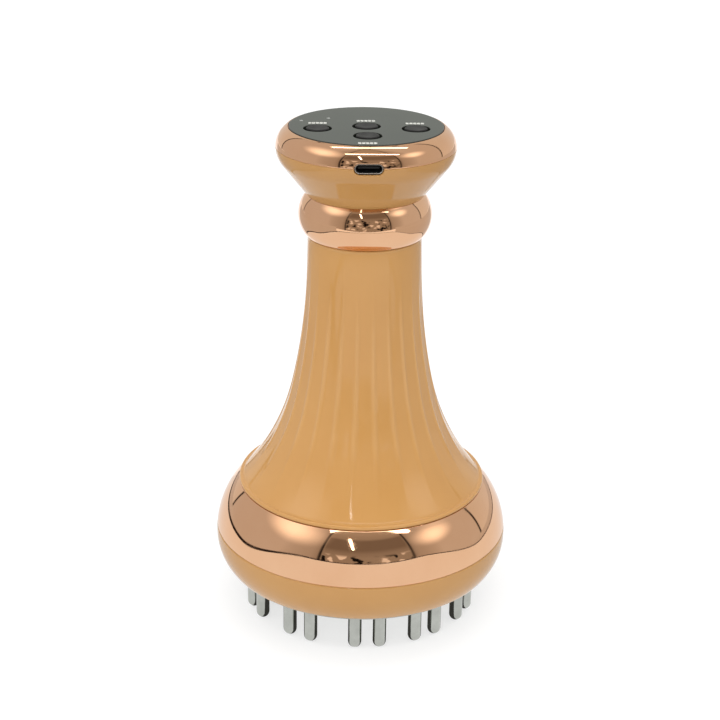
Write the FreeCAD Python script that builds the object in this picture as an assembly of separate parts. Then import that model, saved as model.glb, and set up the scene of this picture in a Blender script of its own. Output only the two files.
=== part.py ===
"""Electric meridian brush: a hand-held massager with a softly fluted handle, a round head with
four buttons and a charging port, and a base that carries pairs of metal pins.

Millimetres, +Z up. The origin lies on the handle's axis, level with the pin tips, and the
charging port faces -Y.
"""
import FreeCAD
import Part
import math
import os
from collections import namedtuple

# Fits, each per side
SLIP_GAP = 0.15             # covers that slip together
PRESS_GAP = 0.02            # pressed and glued fits
RUN_GAP = 0.06              # a shaft in its bearing, a pin in its plate
SCREW_GAP = 0.05            # a screw in its hole
OVERRUN = 1.0               # how far a cutting tool passes what it cuts

# Screws, one size throughout
SCREW_R = 1.1
SCREW_HEAD_R = 2.0
SCREW_HEAD_T = 1.5
RECESS_L = 2.2              # length of each arm of the cross recess
RECESS_W = 0.5
RECESS_DEPTH = 0.8
SCREW_BITE = 5.5            # length of thread in the boss
BOSS_R = 2.6
BOSS_SPARE = 1.5            # depth of the hole beyond the screw's end

# Pins and their plate
PIN_REACH = 13.8            # below the plate
PIN_R = 2.25
PIN_INSET = 6.05            # pin circle inside the plate's edge
PIN_PAIR_COUNT = 11
PAIR_ANGLE = 12.2           # degrees between the two pins of a pair
PAIR_SHIFT_shares = (0.064, 0.006, -0.07, 0, 0, 0, 0, 0, 0, -0.043, -0.003)    # of an even step, front first
PIN_FLANGE_R = 3.1
PIN_FLANGE_T = 0.9
STUD_R = 1.0
STUD_OVER = 0.8             # stud beyond its nut
NUT_R = 2.3                 # over the corners
NUT_T = 1.6
PLATE_T = 3.2
PLATE_PROUD = 1.3           # below the bowl's lower edge
PLATE_SINK = 1.7            # depth of the screw heads' recesses
PIN_BOARD_HALF_W = 4.2
BOARD_T = 1.6

# Base
WIDEST_R = 50.35
BOWL_TUCK = 3.75            # lower edge inside the widest circle
BOWL_RIM_W = 1.4            # rim round the plate
LEDGE_W = 1.2               # ledge behind the plate
LEDGE_T = 1.8
WIDEST_RISE = 10.4          # bowl's lower edge to the widest circle
SEAM_RISE = 3.0             # widest circle to the ring's lower edge
SEAM_ROUND = 0.3
RING_RISE = 19.7            # widest circle to the ring's upper edge
RING_TUCK = 8.15            # ring's upper edge inside the widest circle
RING_EDGE_W = 1.5           # ring's upper edge
BASE_WALL = 2.2
RING_WALL = 2.0
LIP_RISE = 2.0
LIP_T = 1.6
FLANGE_CLEAR = 2.1          # above the pin studs
FLANGE_T = 2.5
FLANGE_PLAY = 0.5           # round the motor's retainer
BOLT_INSET = 7.0            # screw circle inside the pin circle
BASE_BOLT_COUNT = 4
POST_R = 2.4

# Handle
BODY_RISE = 88.2            # ring's upper edge to the neck's top
BODY_WALL = 2.2
NECK_TOP_R = 18.8
NECK_TAPER = 0.4
NECK_RUN = 14.0             # straight length below the neck's top
FLARE_ANGLE = 42.0          # degrees from upright at the ring
RIM_T = 1.4                 # rounded rim at the ring
RIM_ROUND = 0.4
RIM_OVER = 0.25
FLUTE_COUNT = 24
FLUTE_DEPTH = 0.32
FLUTE_FADE_LOW_share = 0.24
FLUTE_FADE_HIGH_share = 0.5
FLUTE_STEP_COUNT = 4        # points along one flute's width
FLUTE_STATION_COUNT = 13
SKIRT_T = 2.0
COLUMN_R = 3.2
COLUMN_RISE = 10.0
RIB_T = 1.6
NECK_FLANGE_T = 3.0
NECK_HOLE_INSET = 7.8       # neck hole's edge inside the screw circle
NECK_BOLT_COUNT = 3
NECK_BOLT_INSET = 2.4       # screw circle inside the spigot
NOTCH_W = 6.5
NOTCH_OUT = 1.6             # beyond the leads

# Neck ring and head
COLLAR_RISE = 13.9
COLLAR_OVER = 0.4           # beyond the handle's neck
COLLAR_SWELL = 2.7
SPIGOT_INSET = 2.2          # inside the ring's end
SPIGOT_WALL = 1.8
HEAD_RISE = 15.6            # neck ring to the head's widest circle
HEAD_OVER = 0.1             # beyond the neck ring's end
HEAD_R = 29.25
HEAD_BEND_R = 8.85          # where the cone turns upright
HEAD_WALL = 2.0
HEAD_FLOOR_T = 2.2
HEAD_LIP_T = 1.5
HEAD_LIP_PLAY = 0.3         # lip's edge below the bezel's ledge
BEZEL_WALL = 2.35
BEZEL_W = 4.1               # widest circle to the panel's seat
BEZEL_EDGE_W = 0.15
BEZEL_LEDGE_W = 2.1
BEZEL_LEDGE_T = 1.5
PANEL_T = 2.0
PANEL_PROUD = 0.2

# Buttons, switches and indicator lights
BUTTON_PLACE_shares = {     # of the panel's radius
    "left": (-0.628, -0.164),
    "back": (0, -0.044),
    "right": (0.628, -0.164),
    "front": (0, -0.532),
}
BUTTON_R_share = 0.148      # of the panel's radius
BUTTON_GAP = 0.9            # groove round the cap
BUTTON_PROUD = 0.25         # cap above the panel's face
BUTTON_SHOULDER_W = 0.5     # rounding of the cap's edge, across
BUTTON_SHOULDER_T = 0.4     # and down
BUTTON_DISH = 0.12          # hollow in the cap's face
BUTTON_FLANGE_W = 1.4
BUTTON_FLANGE_T = 1.0
BUTTON_PLAY = 0.1           # flange below the panel
BUTTON_STEM_R = 2.0
BUTTON_STEM_L = 0.88
SWITCH_W = 6.0
SWITCH_T = 3.5
SWITCH_FULL_T = 4.3         # to the plunger's tip
PLUNGER_R = 1.75
PLUNGER_DEPTH = 1.6         # in the housing
PLUNGER_CLEAR = 0.7          # below the plunger
LAMP_PLACE_shares = ((-0.836, 0.228), (-0.486, 0.364))      # of the panel's radius
LAMP_L = 1.6
LAMP_W = 0.8
LAMP_T = 0.7
LENS_R = 0.6
LENS_COLLAR_R = 0.95
LENS_COLLAR_T = 1.0
LENS_PLAY = 0.2

# Control board and charging port
BOARD_PLAY = 1.25           # inside the head's lip
BOARD_BOLT_RING_share = 0.77                                # of the board's radius
BOARD_BACK_ANGLE = 30.0     # degrees from the back to each of the rear screws
BOARD_FRONT_ANGLE = 48.0    # degrees from the port to each of the front screws
CHIP_PLACE_share = (-0.04, 0.54)                            # of the board's radius
CHIP_W = 7.0
CHIP_T = 1.2
COIL_PLACE_share = (0.62, 0.2)                              # of the board's radius
COIL_R = 2.6
COIL_T = 2.8
USB_W = 8.94
USB_H = 3.16
USB_D = 7.35
USB_WALL = 0.3
USB_BACK = 1.0
USB_RECESS = 1.0            # mouth behind the head's face
PORT_GAP = 0.25
TONGUE_W = 6.69
TONGUE_T = 0.7
TONGUE_L = 4.45

# Cell and inner frame
CELL_INSET = 9.6            # cell inside the handle's neck
CELL_CLEAR = 23.2           # handle's height beyond the cell's length
CELL_EDGE = 0.8
TAB_T = 0.2
TAB_W = 5.0
PAD_T = 2.6
PAD_PLAY = 2.8              # to the screw heads
CRADLE_GAP = 0.25
CRADLE_WALL = 1.8
CRADLE_SHORT = 7.0          # cradle's upper edge below the cell's
CRADLE_OPEN_ANGLE = 120.0   # degrees
SHELF_T = 2.0
DECK_T = 2.4
TUBE_WALL = 2.0
STOP_R = 8.0
STOP_T = 1.6
WINDOW_W = 13.0
LEAD_HOLE_R = 1.6

# Motor
MOTOR_OVER = 3.0            # beyond the cell
MOTOR_CAN_L = 15.5
MOTOR_WALL = 1.0
MOTOR_FACE_T = 1.6
END_CAP_T = 2.5
BEARING_DEPTH = 1.6
SHAFT_R = 1.0
MAGNET_T = 2.0
MAGNET_ANGLE = 140.0        # degrees
MAGNET_L = 10.0
ARMATURE_GAP = 0.5
ARMATURE_L = 8.4
ARMATURE_SLOT_COUNT = 3
SLOT_W = 1.6
SLOT_DEPTH = 4.0
COMMUTATOR_R = 2.6
COMMUTATOR_L = 2.0
MOTOR_FREE = 0.9            # armature above the can's face
TERMINAL_RING_R = 5.5
TERMINAL_T = 0.5
TERMINAL_W = 2.0
TERMINAL_RISE = 3.4
RETAINER_T = 2.0
RETAINER_EDGE_W = 3.0       # beyond its screw circle
RETAINER_HOLE_R = 4.0
RETAINER_BOLT_COUNT = 3
RETAINER_BOLT_OUT = 5.3     # screw circle beyond the motor
WEIGHT_INSET = 3.2          # inside the motor's outline
WEIGHT_HUB_R = 3.2
WEIGHT_T = 5.0
WEIGHT_GAP = 0.9

# Leads
LEAD_R = 0.6
LEAD_INSET = 1.2            # inside the spigot
LEAD_BEND_R = 2.5
LEAD_SPREAD = 7.0           # degrees to each side of a pair's middle
CELL_LEAD_ANGLE = 270.0
MOTOR_LEAD_ANGLE = 22.5
PIN_LEAD_ANGLE = 157.5
MOTOR_LEAD_OUT = 3.65       # beyond the motor's tube
MOTOR_LEAD_RISE = 6.0
PIN_LEAD_PAD = 0.9          # from the board's inner edge
PIN_LEAD_OUT = 2.5          # beyond the base flange's inner edge
PIN_LEAD_RISE = 6.0
LEAD_SWEEP_RISE = 10.0      # above the cell's shelf, where the leads turn upright

# Levels, from the tips up
Z_PLATE_TOP = PIN_REACH + PLATE_T
Z_PIN_BOARD = Z_PLATE_TOP + PIN_FLANGE_T
Z_PIN_BOARD_TOP = Z_PIN_BOARD + BOARD_T
Z_NUT_TOP = Z_PIN_BOARD_TOP + NUT_T
Z_STUD_TOP = Z_NUT_TOP + STUD_OVER
Z_FLANGE = Z_STUD_TOP + FLANGE_CLEAR
Z_FLANGE_TOP = Z_FLANGE + FLANGE_T
Z_DECK_TOP = Z_FLANGE_TOP + DECK_T
Z_RETAINER = Z_FLANGE_TOP - RETAINER_T
Z_BOWL = PIN_REACH + PLATE_PROUD
Z_WIDEST = Z_BOWL + WIDEST_RISE
Z_BASE_SEAM = Z_WIDEST + SEAM_RISE
Z_RING_TOP = Z_WIDEST + RING_RISE
Z_RIM_TOP = Z_RING_TOP + RIM_T
Z_NECK_TOP = Z_RING_TOP + BODY_RISE
Z_NECK_FLANGE = Z_NECK_TOP - NECK_FLANGE_T
Z_COLLAR_TOP = Z_NECK_TOP + COLLAR_RISE
Z_HEAD_FLOOR = Z_COLLAR_TOP + HEAD_FLOOR_T
Z_HEAD_SEAM = Z_COLLAR_TOP + HEAD_RISE
Z_BOARD_TOP = Z_HEAD_SEAM - USB_H / 2
Z_BOARD = Z_BOARD_TOP - BOARD_T
Z_PLUNGER_TOP = Z_BOARD_TOP + SWITCH_FULL_T
Z_BUTTON_FLANGE = Z_PLUNGER_TOP + BUTTON_STEM_L
Z_PANEL = Z_BUTTON_FLANGE + BUTTON_FLANGE_T + BUTTON_PLAY
Z_PANEL_TOP = Z_PANEL + PANEL_T
Z_BUTTON_TOP = Z_PANEL_TOP + BUTTON_PROUD
Z_BEZEL_TOP = Z_PANEL_TOP - PANEL_PROUD
Z_LEDGE = Z_PANEL - BEZEL_LEDGE_T
Z_CELL_TOP = Z_NECK_FLANGE - PAD_T - TAB_T
Z_CELL = Z_CELL_TOP - BODY_RISE + CELL_CLEAR
Z_SHELF_TOP = Z_CELL - TAB_T
Z_CRADLE_TOP = Z_CELL_TOP - CRADLE_SHORT
Z_CAN_TOP = Z_FLANGE_TOP + MOTOR_CAN_L
Z_MOTOR_TOP = Z_CAN_TOP + END_CAP_T
Z_ARMATURE = Z_FLANGE_TOP + MOTOR_FACE_T + MOTOR_FREE
Z_ARMATURE_TOP = Z_ARMATURE + ARMATURE_L
Z_WEIGHT_TOP = Z_RETAINER - WEIGHT_GAP

# Radii that follow from others
BOWL_LOW_R = WIDEST_R - BOWL_TUCK
PLATE_SEAT_R = BOWL_LOW_R - BOWL_RIM_W
PLATE_R = PLATE_SEAT_R - SLIP_GAP
PIN_RING_R = PLATE_R - PIN_INSET
BOLT_RING_R = PIN_RING_R - BOLT_INSET
RING_TOP_R = WIDEST_R - RING_TUCK
RING_EDGE_R = RING_TOP_R - RING_EDGE_W
SKIRT_R = RING_EDGE_R - SLIP_GAP
SKIRT_IN_R = SKIRT_R - SKIRT_T
NECK_LOW_R = NECK_TOP_R + NECK_TAPER
COLLAR_END_R = NECK_TOP_R + COLLAR_OVER
COLLAR_R = COLLAR_END_R + COLLAR_SWELL
SPIGOT_R = COLLAR_END_R - SPIGOT_INSET
SPIGOT_IN_R = SPIGOT_R - SPIGOT_WALL
NECK_BOLT_RING_R = SPIGOT_IN_R - NECK_BOLT_INSET
NECK_HOLE_R = NECK_BOLT_RING_R - NECK_HOLE_INSET
PAD_R = NECK_BOLT_RING_R - SCREW_HEAD_R - PAD_PLAY
LEAD_RING_R = SPIGOT_IN_R - LEAD_INSET - LEAD_R
NOTCH_R = LEAD_RING_R + NOTCH_OUT
HEAD_LOW_R = COLLAR_END_R + HEAD_OVER
BEZEL_IN_R = HEAD_R - BEZEL_WALL
HEAD_LIP_R = BEZEL_IN_R - SLIP_GAP
HEAD_IN_R = HEAD_LIP_R - HEAD_LIP_T
BEZEL_SEAT_R = HEAD_R - BEZEL_W
PANEL_R = BEZEL_SEAT_R - SLIP_GAP
BUTTON_R = PANEL_R * BUTTON_R_share
BUTTON_FLANGE_R = BUTTON_R + BUTTON_FLANGE_W
CONTROL_BOARD_R = HEAD_IN_R - BOARD_PLAY
BOARD_BOLT_RING_R = CONTROL_BOARD_R * BOARD_BOLT_RING_share
CELL_R = NECK_TOP_R - CELL_INSET
CRADLE_IN_R = CELL_R + CRADLE_GAP
CRADLE_R = CRADLE_IN_R + CRADLE_WALL
MOTOR_R = CELL_R + MOTOR_OVER
TUBE_IN_R = MOTOR_R + SLIP_GAP
TUBE_R = TUBE_IN_R + TUBE_WALL
RETAINER_BOLT_RING_R = MOTOR_R + RETAINER_BOLT_OUT
RETAINER_R = RETAINER_BOLT_RING_R + RETAINER_EDGE_W
FLANGE_IN_R = RETAINER_R + FLANGE_PLAY
WEIGHT_R = MOTOR_R - WEIGHT_INSET
MOTOR_LEAD_OUT_R = TUBE_R + MOTOR_LEAD_OUT
PIN_LEAD_IN_R = FLANGE_IN_R + PIN_LEAD_OUT
SCREW_HOLE_R = SCREW_R + SCREW_GAP
MAGNET_R = MOTOR_R - MOTOR_WALL - PRESS_GAP
MAGNET_IN_R = MAGNET_R - MAGNET_T
ARMATURE_R = MAGNET_IN_R - ARMATURE_GAP
FRONT_ANGLE = -90.0         # degrees, where the charging port is

# Places on the panel and the board, as (x, y)
BUTTON_PLACES = {name: (PANEL_R * x, PANEL_R * y) for name, (x, y) in BUTTON_PLACE_shares.items()}
LAMP_PLACES = [(PANEL_R * x, PANEL_R * y) for x, y in LAMP_PLACE_shares]
CHIP_PLACE = [CONTROL_BOARD_R * share for share in CHIP_PLACE_share]
COIL_PLACE = [CONTROL_BOARD_R * share for share in COIL_PLACE_share]

V = FreeCAD.Vector
ORIGIN = V(0, 0, 0)
UP = V(0, 0, 1)
FULL_TURN = 360.0

# One step of an outline: an arc through a point to its end, both as (radius, height)
Bend = namedtuple("Bend", "through end")


def polar(radius, angle, z=0):
    """Point at a radius and an angle in degrees about the axis."""
    turn = math.radians(angle)
    return V(radius * math.cos(turn), radius * math.sin(turn), z)


def spread(count, first=0.0):
    """Angles of a number of even steps round the axis."""
    return [first + FULL_TURN * step / count for step in range(count)]


def disc(radius, low, high, centre=ORIGIN):
    """Upright cylinder between two heights."""
    return Part.makeCylinder(radius, high - low, V(centre.x, centre.y, low))


def block(length, width, low, high, centre=ORIGIN):
    """Upright box between two heights, centred on a point."""
    corner = V(centre.x - length / 2, centre.y - width / 2, low)
    return Part.makeBox(length, width, high - low, corner)


def turned_about(shape, angle):
    """Copy of a shape turned about the axis."""
    copy = shape.copy()
    copy.rotate(ORIGIN, UP, angle)
    return copy


def moved(shape, offset):
    """Copy of a shape moved by a vector."""
    copy = shape.copy()
    copy.translate(offset)
    return copy


def lathe(*steps):
    """Solid turned from a closed outline of (radius, height) points and bends."""
    edges = []
    here = steps[0]
    for step in steps[1:] + (steps[0],):
        there = step.end if isinstance(step, Bend) else step
        start = V(here[0], 0, here[1])
        stop = V(there[0], 0, there[1])
        if isinstance(step, Bend):
            middle = V(step.through[0], 0, step.through[1])
            edges.append(Part.Arc(start, middle, stop).toShape())
        else:
            edges.append(Part.LineSegment(start, stop).toShape())
        here = there
    solid = Part.Face(Part.Wire(edges)).revolve(ORIGIN, UP, FULL_TURN)
    if solid.Volume < 0:
        solid.reverse()
    return solid


class Swell:
    """Outline arc that stands upright at its widest circle and curves in to an end circle."""

    def __init__(self, widest_r, widest_z, end_r, end_z):
        across = widest_r - end_r
        along = end_z - widest_z
        self.bend_r = (along ** 2 + across ** 2) / (2 * across)
        self.centre_r = widest_r - self.bend_r
        self.centre_z = widest_z

    def radius(self, z, inset=0):
        """Radius at a height, on the arc or on one that lies inside it."""
        return self.centre_r + math.sqrt((self.bend_r - inset) ** 2 - (z - self.centre_z) ** 2)

    def height(self, radius, inset=0):
        """Height above the widest circle at a radius."""
        return self.centre_z + math.sqrt((self.bend_r - inset) ** 2 - (radius - self.centre_r) ** 2)

    def bend(self, low, high, inset=0):
        """Outline step from one height to another."""
        middle = (low + high) / 2
        return Bend((self.radius(middle, inset), middle), (self.radius(high, inset), high))


class Flare:
    """Handle outline: a straight neck, then two arcs that meet smoothly and end at a set angle."""

    def __init__(self, inset=0):
        lean = math.atan2(NECK_LOW_R - NECK_TOP_R, NECK_RUN)
        angle = math.radians(FLARE_ANGLE)
        self.top = (NECK_TOP_R - inset / math.cos(lean), Z_NECK_TOP)
        self.start = (NECK_LOW_R - inset * math.cos(lean), Z_NECK_TOP - NECK_RUN - inset * math.sin(lean))
        self.end = (RING_TOP_R - inset * math.cos(angle), Z_RING_TOP - inset * math.sin(angle))
        self.start_way = (math.sin(lean), -math.cos(lean))
        end_way = (math.sin(angle), -math.cos(angle))
        self._join(end_way)
        self.upper = self._circle(self.start, self.start_way, self.joint)
        self.lower = self._circle(self.joint, self.joint_way, self.end)

    def _join(self, end_way):
        """Meeting point and direction of the two arcs."""
        reach = (self.end[0] - self.start[0], self.end[1] - self.start[1])
        ways = (self.start_way[0] + end_way[0], self.start_way[1] + end_way[1])
        turn = 2 * (1 - self.start_way[0] * end_way[0] - self.start_way[1] * end_way[1])
        along = reach[0] * ways[0] + reach[1] * ways[1]
        span = math.sqrt(along ** 2 + turn * (reach[0] ** 2 + reach[1] ** 2))
        arm = (span - along) / turn
        near = [self.start[axis] + arm * self.start_way[axis] for axis in (0, 1)]
        far = [self.end[axis] - arm * end_way[axis] for axis in (0, 1)]
        length = math.hypot(far[0] - near[0], far[1] - near[1])
        self.joint = ((near[0] + far[0]) / 2, (near[1] + far[1]) / 2)
        self.joint_way = ((far[0] - near[0]) / length, (far[1] - near[1]) / length)

    @staticmethod
    def _circle(start, way, stop):
        """Centre and radius, below zero if it bulges, of the arc from a point along a way to another."""
        chord = (stop[0] - start[0], stop[1] - start[1])
        side = (-way[1], way[0])
        across = side[0] * chord[0] + side[1] * chord[1]
        bend_r = (chord[0] ** 2 + chord[1] ** 2) / (2 * across)
        return (start[0] + bend_r * side[0], start[1] + bend_r * side[1], bend_r)

    def radius(self, z):
        """Outline radius at a height."""
        if z >= self.start[1]:
            share = (self.top[1] - z) / (self.top[1] - self.start[1])
            return self.top[0] + share * (self.start[0] - self.top[0])
        centre_r, centre_z, bend_r = self.upper if z >= self.joint[1] else self.lower
        return centre_r - math.copysign(math.sqrt(bend_r ** 2 - (z - centre_z) ** 2), bend_r)

    def bend(self, start, stop):
        """Outline step from one point of an arc to another."""
        middle = (start[1] + stop[1]) / 2
        return Bend((self.radius(middle), middle), stop)


BOWL = Swell(WIDEST_R, Z_WIDEST, BOWL_LOW_R, Z_BOWL)
RING = Swell(WIDEST_R, Z_WIDEST, RING_TOP_R, Z_RING_TOP)
BEZEL = Swell(HEAD_R, Z_HEAD_SEAM, BEZEL_SEAT_R + BEZEL_EDGE_W, Z_BEZEL_TOP)


def screw(length):
    """Pan-head screw that points up from the plane of its seat."""
    body = disc(SCREW_HEAD_R, -SCREW_HEAD_T, 0).fuse(disc(SCREW_R, 0, length))
    floor = RECESS_DEPTH - SCREW_HEAD_T
    recess = block(RECESS_L, RECESS_W, -SCREW_HEAD_T - OVERRUN, floor)
    recess = recess.fuse(block(RECESS_W, RECESS_L, -SCREW_HEAD_T - OVERRUN, floor))
    return body.cut(recess).removeSplitter()


def screws(angles, ring_r, seat, length):
    """Group of screws on a circle, pointing up from a seat."""
    return Part.makeCompound([moved(screw(length), polar(ring_r, angle, seat)) for angle in angles])


def holes(angles, ring_r, hole_r, low, high):
    """Cutting tools for a circle of holes."""
    return [disc(hole_r, low, high, polar(ring_r, angle)) for angle in angles]


def pin_angles(side):
    """Angles of the pins on one side of the pairs, which stand a little unevenly; side is -1 or 1."""
    even = spread(PIN_PAIR_COUNT, FRONT_ANGLE)
    shifts = [FULL_TURN / PIN_PAIR_COUNT * share for share in PAIR_SHIFT_shares]
    return [angle + shifts[pair % len(shifts)] + side * PAIR_ANGLE / 2 for pair, angle in enumerate(even)]


ALL_PINS = pin_angles(-1) + pin_angles(1)
BASE_ANGLES = spread(BASE_BOLT_COUNT, FULL_TURN / BASE_BOLT_COUNT / 2)
POST_ANGLES = spread(BASE_BOLT_COUNT)
NECK_ANGLES = spread(NECK_BOLT_COUNT, -FRONT_ANGLE)
RETAINER_ANGLES = spread(RETAINER_BOLT_COUNT, -FRONT_ANGLE)
BOARD_ANGLES = [-FRONT_ANGLE - BOARD_BACK_ANGLE, -FRONT_ANGLE + BOARD_BACK_ANGLE,
                FRONT_ANGLE - BOARD_FRONT_ANGLE, FRONT_ANGLE + BOARD_FRONT_ANGLE]
LEAD_ANGLES = (CELL_LEAD_ANGLE, MOTOR_LEAD_ANGLE, PIN_LEAD_ANGLE)
PIN_LEAD_ANGLES = (PIN_LEAD_ANGLE - LEAD_SPREAD, PIN_LEAD_ANGLE + LEAD_SPREAD)


def pins(side):
    """Domed pins with a flange behind the plate and a stud through the electrode board."""
    half = math.sqrt(0.5)
    dome = Bend((PIN_R * half, PIN_R - PIN_R * half), (PIN_R, PIN_R))
    shape = lathe((0, 0), dome, (PIN_R, Z_PLATE_TOP), (PIN_FLANGE_R, Z_PLATE_TOP),
                  (PIN_FLANGE_R, Z_PIN_BOARD), (STUD_R, Z_PIN_BOARD), (STUD_R, Z_STUD_TOP), (0, Z_STUD_TOP))
    return Part.makeCompound([moved(shape, polar(PIN_RING_R, angle)) for angle in pin_angles(side)])


def pin_plate():
    """Flat disc in the bowl's mouth, with the pin holes and sunk screw holes."""
    low = PIN_REACH - OVERRUN
    high = Z_PLATE_TOP + OVERRUN
    tools = holes(ALL_PINS, PIN_RING_R, PIN_R + RUN_GAP, low, high)
    tools += holes(POST_ANGLES, BOLT_RING_R, SCREW_HOLE_R, low, high)
    tools += holes(POST_ANGLES, BOLT_RING_R, SCREW_HEAD_R + SLIP_GAP, low, PIN_REACH + PLATE_SINK)
    return disc(PLATE_R, PIN_REACH, Z_PLATE_TOP).cut(tools)


def plate_screws():
    """Screws that hold the plate to the base shell's posts."""
    length = PLATE_T - PLATE_SINK + SCREW_BITE
    return screws(POST_ANGLES, BOLT_RING_R, PIN_REACH + PLATE_SINK, length)


def electrode_board():
    """Ring-shaped board on the pin flanges."""
    low = Z_PIN_BOARD - OVERRUN
    high = Z_PIN_BOARD_TOP + OVERRUN
    tools = holes(ALL_PINS, PIN_RING_R, STUD_R + SCREW_GAP, low, high)
    tools.append(disc(PIN_RING_R - PIN_BOARD_HALF_W, low, high))
    return disc(PIN_RING_R + PIN_BOARD_HALF_W, Z_PIN_BOARD, Z_PIN_BOARD_TOP).cut(tools)


def pin_nuts():
    """Hexagon nuts on the pin studs."""
    corners = [polar(NUT_R, angle, Z_PIN_BOARD_TOP) for angle in spread(6)]
    blank = Part.Face(Part.makePolygon(corners + corners[:1])).extrude(UP * NUT_T)
    nut = blank.cut(disc(STUD_R + SCREW_GAP, Z_PIN_BOARD_TOP - OVERRUN, Z_NUT_TOP + OVERRUN))
    return Part.makeCompound([moved(nut, polar(PIN_RING_R, angle)) for angle in ALL_PINS])


def base_shell():
    """Bowl with a ledge for the plate, a flange for the handle's columns and a lip for the ring."""
    ledge_top = Z_PLATE_TOP + LEDGE_T
    lip_top = Z_BASE_SEAM + LIP_RISE
    lip_r = RING.radius(lip_top, RING_WALL) - SLIP_GAP
    ledge_r = PLATE_SEAT_R - LEDGE_W
    edge = Z_BASE_SEAM - SEAM_ROUND
    middle = (ledge_top + Z_FLANGE) / 2
    inner = Bend((BOWL.radius(middle, BASE_WALL), middle), (BOWL.radius(ledge_top, BASE_WALL), ledge_top))
    seam_r = RING.radius(Z_BASE_SEAM) - SEAM_ROUND
    shell = lathe((BOWL_LOW_R, Z_BOWL), BOWL.bend(Z_BOWL, Z_WIDEST), RING.bend(Z_WIDEST, edge),
                  (seam_r, Z_BASE_SEAM), (lip_r, Z_BASE_SEAM), (lip_r, lip_top), (lip_r - LIP_T, lip_top),
                  (lip_r - LIP_T, Z_FLANGE_TOP), (FLANGE_IN_R, Z_FLANGE_TOP), (FLANGE_IN_R, Z_FLANGE),
                  (BOWL.radius(Z_FLANGE, BASE_WALL), Z_FLANGE), inner, (ledge_r, ledge_top),
                  (ledge_r, Z_PLATE_TOP), (PLATE_SEAT_R, Z_PLATE_TOP), (PLATE_SEAT_R, Z_BOWL))
    shell = shell.fuse(holes(POST_ANGLES, BOLT_RING_R, POST_R, Z_PLATE_TOP, Z_FLANGE))
    tools = holes(BASE_ANGLES, BOLT_RING_R, SCREW_HOLE_R, Z_FLANGE - OVERRUN, Z_FLANGE_TOP + OVERRUN)
    tools += holes(PIN_LEAD_ANGLES, PIN_LEAD_IN_R, LEAD_HOLE_R, Z_FLANGE - OVERRUN, Z_FLANGE_TOP + OVERRUN)
    post_end = Z_PLATE_TOP + SCREW_BITE + BOSS_SPARE
    tools += holes(POST_ANGLES, BOLT_RING_R, SCREW_HOLE_R, Z_PLATE_TOP - OVERRUN, post_end)
    return shell.cut(tools).removeSplitter()


def base_screws():
    """Screws through base flange and deck into the handle's columns."""
    return screws(BASE_ANGLES, BOLT_RING_R, Z_FLANGE, FLANGE_T + DECK_T + SCREW_BITE)


def base_ring():
    """Plated band between the bowl and the handle."""
    inner_top = RING.height(RING_EDGE_R, RING_WALL)
    inner_low = RING.radius(Z_BASE_SEAM, RING_WALL)
    middle = (inner_top + Z_BASE_SEAM) / 2
    inner = Bend((RING.radius(middle, RING_WALL), middle), (inner_low, Z_BASE_SEAM))
    edge = Z_BASE_SEAM + SEAM_ROUND
    return lathe((RING.radius(Z_BASE_SEAM) - SEAM_ROUND, Z_BASE_SEAM), (RING.radius(edge), edge),
                 RING.bend(edge, Z_RING_TOP), (RING_EDGE_R, Z_RING_TOP), (RING_EDGE_R, inner_top), inner)


def flute_depth(z):
    """Depth of the flutes at a height: full along the flare, fading out to both ends."""
    rise = Z_NECK_TOP - Z_RIM_TOP
    low = min(1.0, (z - Z_RIM_TOP) / (rise * FLUTE_FADE_LOW_share))
    high = min(1.0, (Z_NECK_TOP - z) / (rise * FLUTE_FADE_HIGH_share))
    return FLUTE_DEPTH * low ** 2 * (3 - 2 * low) * high ** 2 * (3 - 2 * high)


def fluted_core(outline):
    """Solid handle whose radius waves round the axis, one wave to a flute."""
    rings = []
    for station in range(FLUTE_STATION_COUNT):
        z = Z_RIM_TOP + (Z_NECK_TOP - Z_RIM_TOP) * station / (FLUTE_STATION_COUNT - 1)
        points = []
        for angle in spread(FLUTE_COUNT * FLUTE_STEP_COUNT, FRONT_ANGLE):
            wave = (1 + math.cos(math.radians((angle - FRONT_ANGLE) * FLUTE_COUNT))) / 2
            points.append(polar(outline.radius(z) - flute_depth(z) * wave, angle, z))
        curve = Part.BSplineCurve()
        curve.interpolate(points, True)
        rings.append(Part.Wire([curve.toShape()]))
    return Part.makeLoft(rings, True)


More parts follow.
